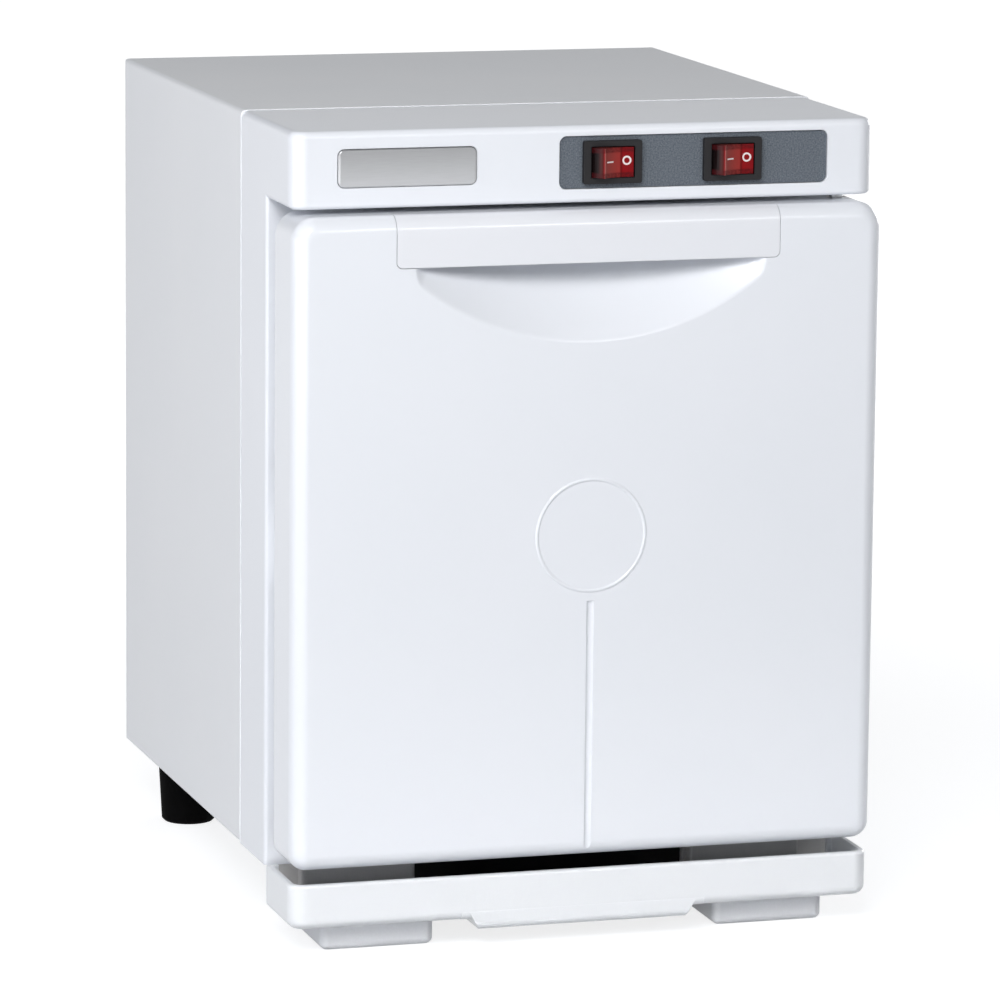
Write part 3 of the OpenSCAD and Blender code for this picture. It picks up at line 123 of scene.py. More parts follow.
def make_world():
    """Pale surround, a little brighter overhead, and white for the camera and in low mirrorings."""
    world = bpy.data.worlds.new("studio")
    bpy.context.scene.world = world
    world.use_nodes = True
    tree = world.node_tree
    tree.nodes.clear()
    place = add_node(tree, "ShaderNodeTexCoord")
    parts = add_node(tree, "ShaderNodeSeparateXYZ", links={0: place.outputs["Generated"]})
    level = add_node(tree, "ShaderNodeMapRange", interpolation_type="SMOOTHSTEP",
                     values={"From Min": SURROUND_RISE[0], "From Max": SURROUND_RISE[1],
                             "To Min": SURROUND_LOW, "To Max": SURROUND_HIGH},
                     links={"Value": parts.outputs["Z"]})
    low = add_node(tree, "ShaderNodeMapRange", interpolation_type="SMOOTHSTEP",
                   values={"From Min": MIRRORED_WHITE[0], "From Max": MIRRORED_WHITE[1],
                           "To Min": 1.0, "To Max": 0.0},
                   links={"Value": parts.outputs["Z"]})
    path = add_node(tree, "ShaderNodeLightPath")
    mirrored = add_node(tree, "ShaderNodeMath", operation="MAXIMUM",
                        links={0: path.outputs["Is Glossy Ray"],
                               1: path.outputs["Is Transmission Ray"]})
    mirrored_low = add_node(tree, "ShaderNodeMath", operation="MULTIPLY",
                            links={0: mirrored.outputs[0], 1: low.outputs[0]})
    seen = add_node(tree, "ShaderNodeMath", operation="MAXIMUM",
                    links={0: path.outputs["Is Camera Ray"], 1: mirrored_low.outputs[0]})
    surround = add_node(tree, "ShaderNodeBackground", values={"Color": colour("F5F8FD")},
                        links={"Strength": level.outputs[0]})
    white = add_node(tree, "ShaderNodeBackground",
                     values={"Color": colour("FFFFFF"), "Strength": 1.0})
    mixed = add_node(tree, "ShaderNodeMixShader",
                     links={"Fac": seen.outputs[0], 1: surround.outputs[0], 2: white.outputs[0]})
    add_node(tree, "ShaderNodeOutputWorld", links={"Surface": mixed.outputs[0]})


def make_floor():
    """White paper: matt, and lifted to white for the camera so that only the shadow shows."""
    mesh = bpy.data.meshes.new("floor")
    bm = bmesh.new()
    bmesh.ops.create_grid(bm, x_segments=1, y_segments=1, size=FLOOR_SIZE / 2)
    bm.to_mesh(mesh)
    bm.free()
    floor = bpy.data.objects.new("floor", mesh)
    bpy.context.scene.collection.objects.link(floor)
    material, tree = new_material("white_paper_floor")
    paper = add_node(tree, "ShaderNodeBsdfDiffuse", values={"Color": colour("A8AAAD")})
    path = add_node(tree, "ShaderNodeLightPath")
    mirrored = add_node(tree, "ShaderNodeMath", operation="MAXIMUM",
                        links={0: path.outputs["Is Glossy Ray"],
                               1: path.outputs["Is Transmission Ray"]})
    seen = add_node(tree, "ShaderNodeMath", operation="MAXIMUM",
                    links={0: path.outputs["Is Camera Ray"], 1: mirrored.outputs[0]})
    reach = add_node(tree, "ShaderNodeVectorMath", operation="LENGTH",
                     links={0: add_node(tree, "ShaderNodeTexCoord").outputs["Object"]})
    level = add_node(tree, "ShaderNodeMapRange", interpolation_type="SMOOTHSTEP",
                     values={"From Min": FLOOR_GLOW_REACH[0], "From Max": FLOOR_GLOW_REACH[1],
                             "To Min": FLOOR_GLOW_NEAR, "To Max": FLOOR_GLOW_FAR},
                     links={"Value": reach.outputs["Value"]})
    lift = add_node(tree, "ShaderNodeMath", operation="MULTIPLY",
                    links={0: seen.outputs[0], 1: level.outputs[0]})
    glow = add_node(tree, "ShaderNodeEmission", values={"Color": colour("FFFFFF")},
                    links={"Strength": lift.outputs[0]})
    both = add_node(tree, "ShaderNodeAddShader", links={0: paper.outputs[0], 1: glow.outputs[0]})
    add_node(tree, "ShaderNodeOutputMaterial", links={"Surface": both.outputs[0]})
    mesh.materials.append(material)


def area_light(name, place, target, size, energy, tint="FFFFFF", spread=180.0):
    """A rectangular lamp, hidden from the camera. Places in metres, energy in watts."""
    data = bpy.data.lights.new(name, "AREA")
    data.shape = "RECTANGLE"
    data.size, data.size_y = size
    data.energy = energy
    data.spread = math.radians(spread)
    data.color = colour(tint)[:3]
    lamp = bpy.data.objects.new(name, data)
    bpy.context.scene.collection.objects.link(lamp)
    lamp.location = place
    lamp.rotation_mode = "QUATERNION"
    lamp.rotation_quaternion = (Vector(target) - Vector(place)).to_track_quat("-Z", "Y")
    lamp.visible_camera = False


def make_lights():
    # main light, high at the front left
    area_light("key", (-0.75, -1.35, 1.15), (0, -0.1, 0.12), (0.9, 0.5), 19.6)
    # lifts the tray, the feet and the door's lower part
    area_light("low_fill", (-0.55, -1.15, 0.03), (0, -0.12, 0.02), (0.8, 0.3), 2.0)
    # thin beam into the gap over the tray
    area_light("toe_beam", (-0.2, -1.25, 0.07), (0, -0.13, -0.05), (0.9, 0.08), 0.125,
               spread=20.0)
    # draws the highlight along the rounded upper edges
    area_light("edge_box", (0.62, -2.2, 1.13), (0, -0.12, 0.2), (0.55, 0.2), 5.0)
    # back and right side
    area_light("back_fill", (1.5, 1.0, 0.45), (0, 0.05, 0.14), (0.9, 0.6), 12.0)
    # left side
    area_light("soft_box", (-1.5, -0.55, 0.30), (-0.1, 0.0, 0.14), (0.9, 0.6), 6.0, "F6F8FF")


# Finishes. Every pattern's size is given in millimetres of the real surface.

COAT_ROUGH = 0.1
GRAIN_ROUGH = (0.05, 0.07)  # how much smoother and rougher a moulded grain is than its mean
DRAWN_ROUGH = (0.1, 0.12)   # the same of a drawn grain
EDGE_SAMPLES = 4


def per_metre(size_mm):
    """Texture scale at which a feature is that many millimetres wide."""
    return 1000.0 / size_mm


def moulded(name, hexes, shade, rough, grain_mm, grain_depth, edge_mm=0.35, specular=0.5,
            coat=0.0, metallic=0.0, drift_mm=60.0):
    """Base finish of a moulded, coated or cast surface: a slow drift between two near colours,
    a fine grain in its bump and roughness, and edges worn to a small radius."""
    material, tree = new_material(name)
    place = add_node(tree, "ShaderNodeTexCoord").outputs["Object"]
    drift = add_node(tree, "ShaderNodeTexNoise",
                     values={"Scale": per_metre(drift_mm), "Detail": 2.0}, links={"Vector": place})
    tone = add_node(tree, "ShaderNodeMix", data_type="RGBA",
                    values={6: colour(hexes), 7: colour(shade)},
                    links={0: drift.outputs["Fac"]})
    grain = add_node(tree, "ShaderNodeTexNoise",
                     values={"Scale": per_metre(grain_mm), "Detail": 3.0}, links={"Vector": place})
    matt = add_node(tree, "ShaderNodeMapRange",
                    values={"To Min": rough - GRAIN_ROUGH[0], "To Max": rough + GRAIN_ROUGH[1]},
                    links={"Value": grain.outputs["Fac"]})
    edge = add_node(tree, "ShaderNodeBevel", values={"Radius": edge_mm * MM}, samples=EDGE_SAMPLES)
    bump = add_node(tree, "ShaderNodeBump",
                    values={"Strength": 1.0, "Distance": grain_depth * MM},
                    links={"Height": grain.outputs["Fac"], "Normal": edge.outputs[0]})
    shader = add_node(tree, "ShaderNodeBsdfPrincipled",
                      values={"Metallic": metallic, "Specular IOR Level": specular,
                              "Coat Weight": coat, "Coat Roughness": COAT_ROUGH},
                      links={"Base Color": tone.outputs[2], "Roughness": matt.outputs[0],
                             "Normal": bump.outputs[0]})
    add_node(tree, "ShaderNodeOutputMaterial", links={"Surface": shader.outputs[0]})
    return material


def brushed(name, hexes, rough, grain_mm, stretch, metallic=1.0, coat=0.0, edge_mm=0.25,
            painted_fade=None):
    """Metal with a drawn or brushed grain: noise stretched along one axis in bump and roughness.
    A painted fade, a painted reflection, is two heights and their two levels of brightness."""
    material, tree = new_material(name)
    place = add_node(tree, "ShaderNodeTexCoord").outputs["Object"]
    drawn = add_node(tree, "ShaderNodeMapping", values={"Scale": stretch}, links={"Vector": place})
    grain = add_node(tree, "ShaderNodeTexNoise",
                     values={"Scale": per_metre(grain_mm), "Detail": 4.0},
                     links={"Vector": drawn.outputs[0]})
    matt = add_node(tree, "ShaderNodeMapRange",
                    values={"To Min": rough - DRAWN_ROUGH[0], "To Max": rough + DRAWN_ROUGH[1]},
                    links={"Value": grain.outputs["Fac"]})
    uneven = add_node(tree, "ShaderNodeMapRange", values={"To Min": 0.9, "To Max": 1.08},
                      links={"Value": grain.outputs["Fac"]})
    tone = add_node(tree, "ShaderNodeHueSaturation", values={"Color": colour(hexes)},
                    links={"Value": uneven.outputs[0]})
    # painted reflection: the colour's brightness follows the height
    if painted_fade:
        low, high, low_level, high_level = painted_fade
        parts = add_node(tree, "ShaderNodeSeparateXYZ", links={0: place})
        level = add_node(tree, "ShaderNodeMapRange",
                         values={"From Min": low, "From Max": high, "To Min": low_level,
                                 "To Max": high_level}, links={"Value": parts.outputs["Z"]})
        tone = add_node(tree, "ShaderNodeHueSaturation",
                        links={"Color": tone.outputs[0], "Value": level.outputs[0]})
    edge = add_node(tree, "ShaderNodeBevel", values={"Radius": edge_mm * MM},
                    samples=EDGE_SAMPLES)
    bump = add_node(tree, "ShaderNodeBump", values={"Strength": 0.6, "Distance": 0.01 * MM},
                    links={"Height": grain.outputs["Fac"], "Normal": edge.outputs[0]})
    shader = add_node(tree, "ShaderNodeBsdfPrincipled",
                      values={"Metallic": metallic, "Coat Weight": coat,
                              "Coat Roughness": COAT_ROUGH},
                      links={"Base Color": tone.outputs[0], "Roughness": matt.outputs[0],
                             "Normal": bump.outputs[0]})
    add_node(tree, "ShaderNodeOutputMaterial", links={"Surface": shader.outputs[0]})
    return material


def painted_shade_over_height(name, low_hex, painted_shade_hex, height_mm, rough):
    """Grained plastic with painted shade: darker and warmer above a height, where its wall lies in shadow."""
    material, tree = new_material(name)
    place = add_node(tree, "ShaderNodeTexCoord").outputs["Object"]
    parts = add_node(tree, "ShaderNodeSeparateXYZ", links={0: place})
    # above the height the colour is painted shade
    upper = add_node(tree, "ShaderNodeMapRange", interpolation_type="SMOOTHSTEP",
                     values={"From Min": (height_mm - 1) * MM, "From Max": (height_mm + 1) * MM},
                     links={"Value": parts.outputs["Z"]})
    tone = add_node(tree, "ShaderNodeMix", data_type="RGBA",
                    values={6: colour(low_hex), 7: colour(painted_shade_hex)}, links={0: upper.outputs[0]})
    grain = add_node(tree, "ShaderNodeTexNoise", values={"Scale": per_metre(0.8), "Detail": 3.0},
                     links={"Vector": place})
    uneven = add_node(tree, "ShaderNodeMapRange", values={"To Min": 0.96, "To Max": 1.04},
                      links={"Value": grain.outputs["Fac"]})
    grained = add_node(tree, "ShaderNodeHueSaturation",
                       links={"Color": tone.outputs[2], "Value": uneven.outputs[0]})
    edge = add_node(tree, "ShaderNodeBevel", values={"Radius": 0.35 * MM}, samples=EDGE_SAMPLES)
    bump = add_node(tree, "ShaderNodeBump", values={"Strength": 1.0, "Distance": 0.004 * MM},
                    links={"Height": grain.outputs["Fac"], "Normal": edge.outputs[0]})
    shader = add_node(tree, "ShaderNodeBsdfPrincipled", values={"Roughness": rough},
                      links={"Base Color": grained.outputs[0], "Normal": bump.outputs[0]})
    add_node(tree, "ShaderNodeOutputMaterial", links={"Surface": shader.outputs[0]})
    return material


def speckled_panel(name):
    """Printed plastic plate: dark blue-grey with a fine light and dark speckle, drawn 0.5 mm wide
    so that it shows, and a smooth matt varnish."""
    material, tree = new_material(name)
    place = add_node(tree, "ShaderNodeTexCoord").outputs["Object"]
    speck = add_node(tree, "ShaderNodeTexNoise", values={"Scale": per_metre(0.55), "Detail": 2.0,
                                                         "Roughness": 0.7},
                     links={"Vector": place})
    ramp = add_node(tree, "ShaderNodeValToRGB", links={"Fac": speck.outputs["Fac"]})
    ramp.color_ramp.elements[0].position = 0.32
    ramp.color_ramp.elements[0].color = colour("474E57")
    ramp.color_ramp.elements[1].position = 0.68
    ramp.color_ramp.elements[1].color = colour("70777F")
    bump = add_node(tree, "ShaderNodeBump", values={"Strength": 0.4, "Distance": 0.02 * MM},
                    links={"Height": speck.outputs["Fac"]})
    shader = add_node(tree, "ShaderNodeBsdfPrincipled",
                      values={"Roughness": 0.5, "Specular IOR Level": 0.4},
                      links={"Base Color": ramp.outputs[0], "Normal": bump.outputs[0]})
    add_node(tree, "ShaderNodeOutputMaterial", links={"Surface": shader.outputs[0]})
    return material


def glass_tube(name):
    """Clear quartz of the lamp: nearly colourless, with a faint bloom in its roughness."""
    material, tree = new_material(name)
    bloom = add_node(tree, "ShaderNodeTexNoise",
                     values={"Scale": per_metre(20.0), "Detail": 2.0},
                     links={"Vector": add_node(tree, "ShaderNodeTexCoord").outputs["Object"]})
    matt = add_node(tree, "ShaderNodeMapRange", values={"To Min": 0.02, "To Max": 0.12},
                    links={"Value": bloom.outputs["Fac"]})
    shader = add_node(tree, "ShaderNodeBsdfPrincipled",
                      values={"Base Color": colour("E4EAF4"), "Transmission Weight": 0.75,
                              "IOR": 1.46},
                      links={"Roughness": matt.outputs[0]})
    add_node(tree, "ShaderNodeOutputMaterial", links={"Surface": shader.outputs[0]})
    return material


def fibrous(name, light, dark, fibre_mm, pore_mm):
    """Mineral wool or open foam: matt, with fibres or pores in colour and bump."""
    material, tree = new_material(name)
    place = add_node(tree, "ShaderNodeTexCoord").outputs["Object"]
    fibre = add_node(tree, "ShaderNodeTexNoise",
                     values={"Scale": per_metre(fibre_mm), "Detail": 6.0, "Distortion": 2.0},
                     links={"Vector": place})
    pores = add_node(tree, "ShaderNodeTexVoronoi", values={"Scale": per_metre(pore_mm)},
                     links={"Vector": place})
    tone = add_node(tree, "ShaderNodeMix", data_type="RGBA",
                    values={6: colour(dark), 7: colour(light)},
                    links={0: fibre.outputs["Fac"]})
    height = add_node(tree, "ShaderNodeMath", operation="ADD",
                      links={0: fibre.outputs["Fac"], 1: pores.outputs["Distance"]})
    bump = add_node(tree, "ShaderNodeBump", values={"Strength": 1.0, "Distance": 0.6 * MM},
                    links={"Height": height.outputs[0]})
    shader = add_node(tree, "ShaderNodeBsdfPrincipled",
                      values={"Roughness": 0.95, "Specular IOR Level": 0.1},
                      links={"Base Color": tone.outputs[2], "Normal": bump.outputs[0]})
    add_node(tree, "ShaderNodeOutputMaterial", links={"Surface": shader.outputs[0]})
    return material


# The rocker's own sizes, as its source has them, in millimetres: its height over the pivot, the
# depth of its dished face, the radius of its ends, and from these the dish's half width and radius

ROCKER_RISE = 5.6
ROCKER_DISH = 1.3
ROCKER_END = 8.12
DISH_HALF = math.sqrt(ROCKER_END ** 2 - ROCKER_RISE ** 2)
DISH_R = (DISH_HALF ** 2 + ROCKER_DISH ** 2) / (2 * ROCKER_DISH)

# Heights from the middle at which the painted shade of the wall behind the clear cap begins and is full
CAP_WALL_SHADE = (3.1, 3.9)

# Colours along the rocker from its left end to its right, each at its share of the length: the
# cap's red with painted light in it. The dark ends and the dark band right of the middle are
# painted shade, the pale stop at the ridge is a painted highlight, and the paler left part is
# partly a painted reflection
ROCKER_RED_AND_PAINTED_LIGHT = [(0.0, "0C0708"), (0.045, "1B0D0D"), (0.08, "4A2625"), (0.105, "52201F"),
                (0.125, "84191D"), (0.139, "B9706B"), (0.152, "9A544E"), (0.2, "92403B"),
                (0.55, "9E3733"), (0.59, "6E1214"), (0.64, "92151A"), (0.9, "7C1218"),
                (1.0, "35121B")]


def rocker_tilt(body):
    """Angle of a rocker's face at rest: half of its travel."""
    return math.radians(joints[body]["range_deg"][1] / 2)


def translucent_red(name, body):
    """Clear red polycarbonate cap over a reflector, with painted light: the half over the reflector is
    lighter, partly as a painted reflection, the pressed half a deep red, the walls seen edge-on
    through it are darker and the ends darkest as painted shade, and the ridge has a painted
    highlight."""
    material, tree = new_material(name)
    pivot = Vector(joints[body]["pos_m"])
    centred = add_node(tree, "ShaderNodeMapping", vector_type="TEXTURE",
                       values={"Location": pivot, "Rotation": (0, 0, rocker_tilt(body))},
                       links={"Vector": add_node(tree, "ShaderNodeTexCoord").outputs["Object"]})
    parts = add_node(tree, "ShaderNodeSeparateXYZ", links={0: centred.outputs[0]})
    along = add_node(tree, "ShaderNodeMapRange",
                     values={"From Min": -ROCKER_END * MM, "From Max": ROCKER_END * MM},
                     links={"Value": parts.outputs["X"]})
    # the cap's red with painted shade at the ends and crease and a painted highlight at the ridge
    zones = add_node(tree, "ShaderNodeValToRGB", links={"Fac": along.outputs[0]})
    ramp = zones.color_ramp
    while len(ramp.elements) < len(ROCKER_RED_AND_PAINTED_LIGHT):
        ramp.elements.new(0.5)
    for element, (position, hexes) in zip(ramp.elements, ROCKER_RED_AND_PAINTED_LIGHT):
        element.position = position
        element.color = colour(hexes)
    # darker flecked bands towards the top and bottom: painted shade of the walls seen edge-on
    upright = add_node(tree, "ShaderNodeMath", operation="ABSOLUTE",
                       links={0: parts.outputs["Z"]})
    wall = add_node(tree, "ShaderNodeMapRange", interpolation_type="SMOOTHSTEP",
                    values={"From Min": CAP_WALL_SHADE[0] * MM, "From Max": CAP_WALL_SHADE[1] * MM,
                            "To Min": 0.0, "To Max": 0.75},
                    links={"Value": upright.outputs[0]})
    flecks = add_node(tree, "ShaderNodeTexNoise",
                      values={"Scale": per_metre(0.9), "Detail": 3.0, "Roughness": 0.7},
                      links={"Vector": centred.outputs[0]})
    uneven = add_node(tree, "ShaderNodeMapRange",
                      values={"From Min": 0.35, "From Max": 0.7, "To Min": 0.45, "To Max": 1.15},
                      links={"Value": flecks.outputs["Fac"]})
    walls = add_node(tree, "ShaderNodeMath", operation="MULTIPLY", use_clamp=True,
                     links={0: wall.outputs[0], 1: uneven.outputs[0]})
    # the walls' colour is painted shade
    tone = add_node(tree, "ShaderNodeMix", data_type="RGBA", values={7: colour("4A1216")},
                    links={0: walls.outputs[0], 6: zones.outputs[0]})
    edge = add_node(tree, "ShaderNodeBevel", values={"Radius": 0.3 * MM}, samples=EDGE_SAMPLES)
    shader = add_node(tree, "ShaderNodeBsdfPrincipled",
                      values={"Roughness": 0.16, "Specular IOR Level": 0.06},
                      links={"Base Color": tone.outputs[2], "Normal": edge.outputs[0]})
    add_node(tree, "ShaderNodeOutputMaterial", links={"Surface": shader.outputs[0]})
    return material


def make_finishes():
    """The record's material slots, each with its real finish. The door has its own."""
    badge_low, badge_high = (corner.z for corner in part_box("name_badge"))
    return {
        # powder-coated sheet steel: satin, with a faint orange peel
        "white_steel": moulded("powder_coated_steel", "EEEFF1", "E9EBEE", 0.34, 1.1, 0.012, 0.45),
        # the same coat on the back panel, in a light grey and a little duller
        "back_steel": moulded("powder_coated_back_steel", "D6D9DB", "D0D3D6", 0.38, 1.1, 0.014),
        # zinc plated sheet: grey metal with a soft drawn grain
        "zinc_steel": brushed("zinc_plated_steel", "B4B8BB", 0.38, 1.2, (1.0, 0.2, 1.0)),
        # moulded ABS: cool white, semi-gloss, a trace of mould texture
        "white_abs": moulded("moulded_white_abs", "EDEFF4", "EAEDF2", 0.3, 0.8, 0.0008, 0.3,
                             coat=0.2),
        # the door: the same plastic from a polished mould, glossier
        "door_shell": moulded("polished_door_abs", "EDEFF4", "EAEDF2", 0.3, 0.8, 0.0006, 0.3,
                              coat=0.4),
        # rolled aluminium sheet, mill finish: bright, streaked from side to side
        "chamber_aluminium": brushed("rolled_aluminium", "CDD0D4", 0.34, 0.8, (0.12, 1.0, 1.0)),
        # mineral wool: matt, pale yellow, felted
        "mineral_wool": fibrous("mineral_wool", "DCD2A8", "B7AA7C", 2.0, 3.0),
        # moulded silicone rubber of the heating mat: matt orange with a fine grain
        "orange_silicone": moulded("silicone_heating_mat", "C4562A", "B44A22", 0.7, 0.8, 0.05),
        # pressed phenolic resin: brown, half matt
        "brown_phenolic": moulded("phenolic_moulding", "6B4F3A", "5C4230", 0.45, 0.6, 0.01),
        # unglazed steatite: cream, dry and matt
        "steatite": moulded("unglazed_steatite", "D9D3C4", "CCC5B4", 0.7, 0.4, 0.01),
        "quartz_glass": glass_tube("quartz_glass"),
        # moulded nylon: warm white, slightly waxy
        "white_nylon": moulded("white_nylon", "F1F0EA", "E8E6DE", 0.42, 0.5, 0.006),
        # nickel-plated wire: bright, finely clouded
        "bright_wire": brushed("nickel_plated_wire", "D6D7D6", 0.2, 0.6, (1.0, 1.0, 1.0)),
        # varnished steel sheets of the choke: grey under a dull lacquer
        "choke_steel": moulded("varnished_steel", "8F959B", "858B91", 0.4, 1.0, 0.01,
                               metallic=0.4),
        # pressed thermoset: cream, half matt
        "cream_thermoset": moulded("cream_thermoset", "E8E2CE", "DED7C0", 0.5, 0.5, 0.008),
        "grey_panel": speckled_panel("speckled_grey_panel"),
        # silver foil under a clear domed resin: brushed along X, with a sharp coat, and a painted
        # reflection, lighter below and darker above
        "silver_badge": brushed("domed_silver_badge_with_painted_reflection", "AEAFB1", 0.42, 0.35, (0.06, 1.0, 1.0),
                                metallic=0.75, coat=1.0, painted_fade=(badge_low, badge_high, 1.14, 0.78)),
        # moulded nylon of the switch housings: black, satin
        "black_nylon": moulded("black_nylon", "1F1E20", "1A191B", 0.5, 0.4, 0.004, specular=0.3),
        # tinned brass: pale yellow metal, drawn upright
        "tinned_brass": brushed("tinned_brass", "D0BC82", 0.28, 0.6, (1.0, 1.0, 0.3)),
        # the handle insert: moulded ABS, as glossy as the door and a trace greyer
        "handle_abs": moulded("moulded_handle_abs", "ECEDF1", "E9EBF0", 0.3, 0.8, 0.0006, 0.3,
                              coat=0.4),
        # the door's inner face: moulded ABS, half matt
        "liner_abs": moulded("moulded_liner_abs", "ECEEF0", "E6E8EB", 0.42, 0.7, 0.01),
        # open-celled foam: matt, cream, with small pores
        "cream_foam": fibrous("open_foam", "E9E2CC", "CFC6AA", 1.2, 1.6),
        # extruded silicone: milky grey and matt
        "clear_silicone": moulded("silicone_gasket", "D5D8DA", "CBCED1", 0.6, 0.7, 0.01),
        # ground ferrite: dark grey, stony
        "ferrite": moulded("ground_ferrite", "4A4A4C", "3E3E40", 0.55, 0.5, 0.02),
        # the drip tray: moulded ABS, semi-gloss
        "tray_abs": moulded("moulded_tray_abs", "ECEEF0", "E9EBEE", 0.32, 0.8, 0.001, 0.35,
                            coat=0.25),
        # grained ABS of the tray guide and the inlet: black and dull; the inlet's black is its own,
        # the tray guide's black, seen through the tray's slot, is painted shade of the space under it
        "black_abs": moulded("grained_black_abs_and_painted_shade", "0C0C0D", "080809", 0.7, 0.7, 0.03,
                             specular=0.2),
        # the front feet: the same white plastic with a light spark-eroded grain; above 12 mm painted shade
        "foot_abs": painted_shade_over_height("grained_foot_abs_with_painted_shade", "DFE0E3", "C3C1BF", 12.0, 0.48),
        # moulded rubber of the rear feet: black, with hardly any shine
        "black_rubber": moulded("black_rubber", "050506", "040404", 0.85, 0.9, 0.03, 0.5,
                                specular=0.06),
        # zinc plated screws, pins and strike plate: bright grey with a fine grain
        "screw_steel": brushed("zinc_plated_screw", "C6C9CC", 0.3, 0.4, (1.0, 1.0, 1.0)),
    }


def dress_nodes(finishes):
    """Every CAD node keeps its shape and gets the finish of its slot."""
    for body in ("power_rocker", "uv_rocker"):
        finishes[body] = translucent_red("clear_red_painted_light_" + body, body)
    for part in record["subparts"]:
        obj = frame["nodes"][part["node"]]
        finish = finishes.get(part["node"]) or finishes[part["material_slot"]]
        obj.data.materials.clear()
        obj.data.materials.append(finish)


# Printed marks of the two rockers: places from the rocker's middle, sizes in millimetres

MARK_WHITE = "F4E9E8"
MARK_PROUD = 0.05
MARK_SUNK = 0.1
DASH_AT, DASH_UP, DASH_LENGTH, DASH_WIDTH = -3.3, 0.3, 3.0, 0.5
RING_AT, RING_UP, RING_OUTER, RING_INNER = 3.55, 0.6, 1.6, 1.0


def new_piece(name, bm, material, body):
    """A finished piece: its place is in its mesh, and it rides on a body."""
    bmesh.ops.recalc_face_normals(bm, faces=bm.faces)
    mesh = bpy.data.meshes.new(name)
    bm.to_mesh(mesh)
    bm.free()
    mesh.materials.append(material)
    piece = bpy.data.objects.new(name, mesh)
    bpy.context.scene.collection.objects.link(piece)
    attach(piece, body)


def lay_on_rocker(bm, body):
    """Takes a flat print drawn in X and Z, with its thickness along Y, onto the dished face."""
    pivot = Vector(joints[body]["pos_m"])
    turn = Matrix.Rotation(rocker_tilt(body), 3, "Z")
    for vert in bm.verts:
        u = vert.co.x
        face = ROCKER_RISE - ROCKER_DISH + DISH_R - math.sqrt(DISH_R ** 2 - u ** 2)
        vert.co = turn @ (Vector((u, vert.co.y - face, vert.co.z)) * MM) + pivot


def thicken_print(bm):
    """Gives a flat print its thickness, from inside the rocker to just proud of it."""
    made = bmesh.ops.extrude_face_region(bm, geom=bm.faces[:])
    raised = [item for item in made["geom"] if isinstance(item, bmesh.types.BMVert)]
    bmesh.ops.translate(bm, verts=bm.verts, vec=(0, MARK_SUNK, 0))
    bmesh.ops.translate(bm, verts=raised, vec=(0, -MARK_SUNK - MARK_PROUD, 0))


def print_on_rocker(bm, name, body, ink, at, up):
    """Stands a flat drawing up, moves it along and up the rocker's face and prints it there."""
    bmesh.ops.rotate(bm, verts=bm.verts, cent=(0, 0, 0),
                     matrix=Matrix.Rotation(math.pi / 2, 3, "X"))
    bmesh.ops.translate(bm, verts=bm.verts, vec=(at, 0, up))
    thicken_print(bm)
    lay_on_rocker(bm, body)
    new_piece(body + name, bm, ink, body)


def off_ring(body, ink):
    bm = bmesh.new()
    for radius in (RING_OUTER, RING_INNER):
        bmesh.ops.create_circle(bm, segments=64, radius=radius)
    bmesh.ops.bridge_loops(bm, edges=bm.edges[:])
    print_on_rocker(bm, "_off_ring", body, ink, RING_AT, RING_UP)


def on_dash(body, ink):
    bm = bmesh.new()
    bmesh.ops.create_grid(bm, x_segments=12, y_segments=1, size=0.5)
    bmesh.ops.scale(bm, verts=bm.verts, vec=(DASH_LENGTH, DASH_WIDTH, 1))
    print_on_rocker(bm, "_on_dash", body, ink, DASH_AT, DASH_UP)


def make_rocker_marks():
    """White pad-printed marks of off and on."""
    ink = moulded("white_pad_print", MARK_WHITE, "EFE2E1", 0.4, 0.3, 0.002, 0.05)
    for body in ("power_rocker", "uv_rocker"):
        off_ring(body, ink)
        on_dash(body, ink)


# Mouldings: copies of their nodes' meshes with the soft corners and rims of the real ones

CORNER_MERGE = 0.001
GROWN = 0.01        # how far a tool stands off the faces that it leaves alone
CLEAR = 1.0         # how far a tool runs past what it cuts
ON_FACE = 0.1       # how near a corner is to a face that counts as on it
SMOOTH_UNDER = math.radians(28)

# The scoop's rim is a long arc that turns up at both ends to the handle insert's lower edge
SCOOP_X = -0.1
SCOOP_R = 99.6
SCOOP_UP = 72.2
SCOOP_DEEP = 14.4
SCOOP_END = 63.4
SCOOP_END_SLOPE = 1.3
SCOOP_END_BLEND = 3.5
SCOOP_RIM_BLEND = 0.6
SCOOP_FAR = (SCOOP_R ** 2 - SCOOP_UP ** 2 - SCOOP_DEEP ** 2) / (2 * SCOOP_DEEP)
SCOOP_BALL = math.hypot(SCOOP_R, SCOOP_FAR)
SCOOP_PITCH = 0.45
SCOOP_MARGIN = 4.0
SCOOP_UNDER_INSERT = 0.1

TRAY_CORNER_R = 5.7
TRAY_LOW_R = 3.4
TRAY_RIM_R = 1.1
TRAY_FLOOR_ABOVE_LIP = 3.8
TRAY_LIP_SHARE = 0.42
TRAY_LIP_OVERLAP = 3.0
TRAY_DEPTH = 34.7
FOOT_R = 2.9
FOOT_H = 10.1
FOOT_BLOCK_BACK = 26.0
FOOT_WEB_IN = 1.5
FOOT_WEB_OUT = 12.5
FOOT_WEB_SHORT = 2.0
RING_PROUD = 0.3    # the door's ring stands this far before its front face
BADGE_CORNER_R = 2.2
BADGE_RIM_W = 1.9
BADGE_RIM_D = 0.58


def solid_from(bm, name):
    """A loose solid in the scene, its drawing in millimetres, to carve with."""
    bmesh.ops.scale(bm, verts=bm.verts, vec=(MM, MM, MM))
    bmesh.ops.recalc_face_normals(bm, faces=bm.faces)
    mesh = bpy.data.meshes.new(name)
    bm.to_mesh(mesh)
    bm.free()
    solid = bpy.data.objects.new(name, mesh)
    bpy.context.scene.collection.objects.link(solid)
    return solid


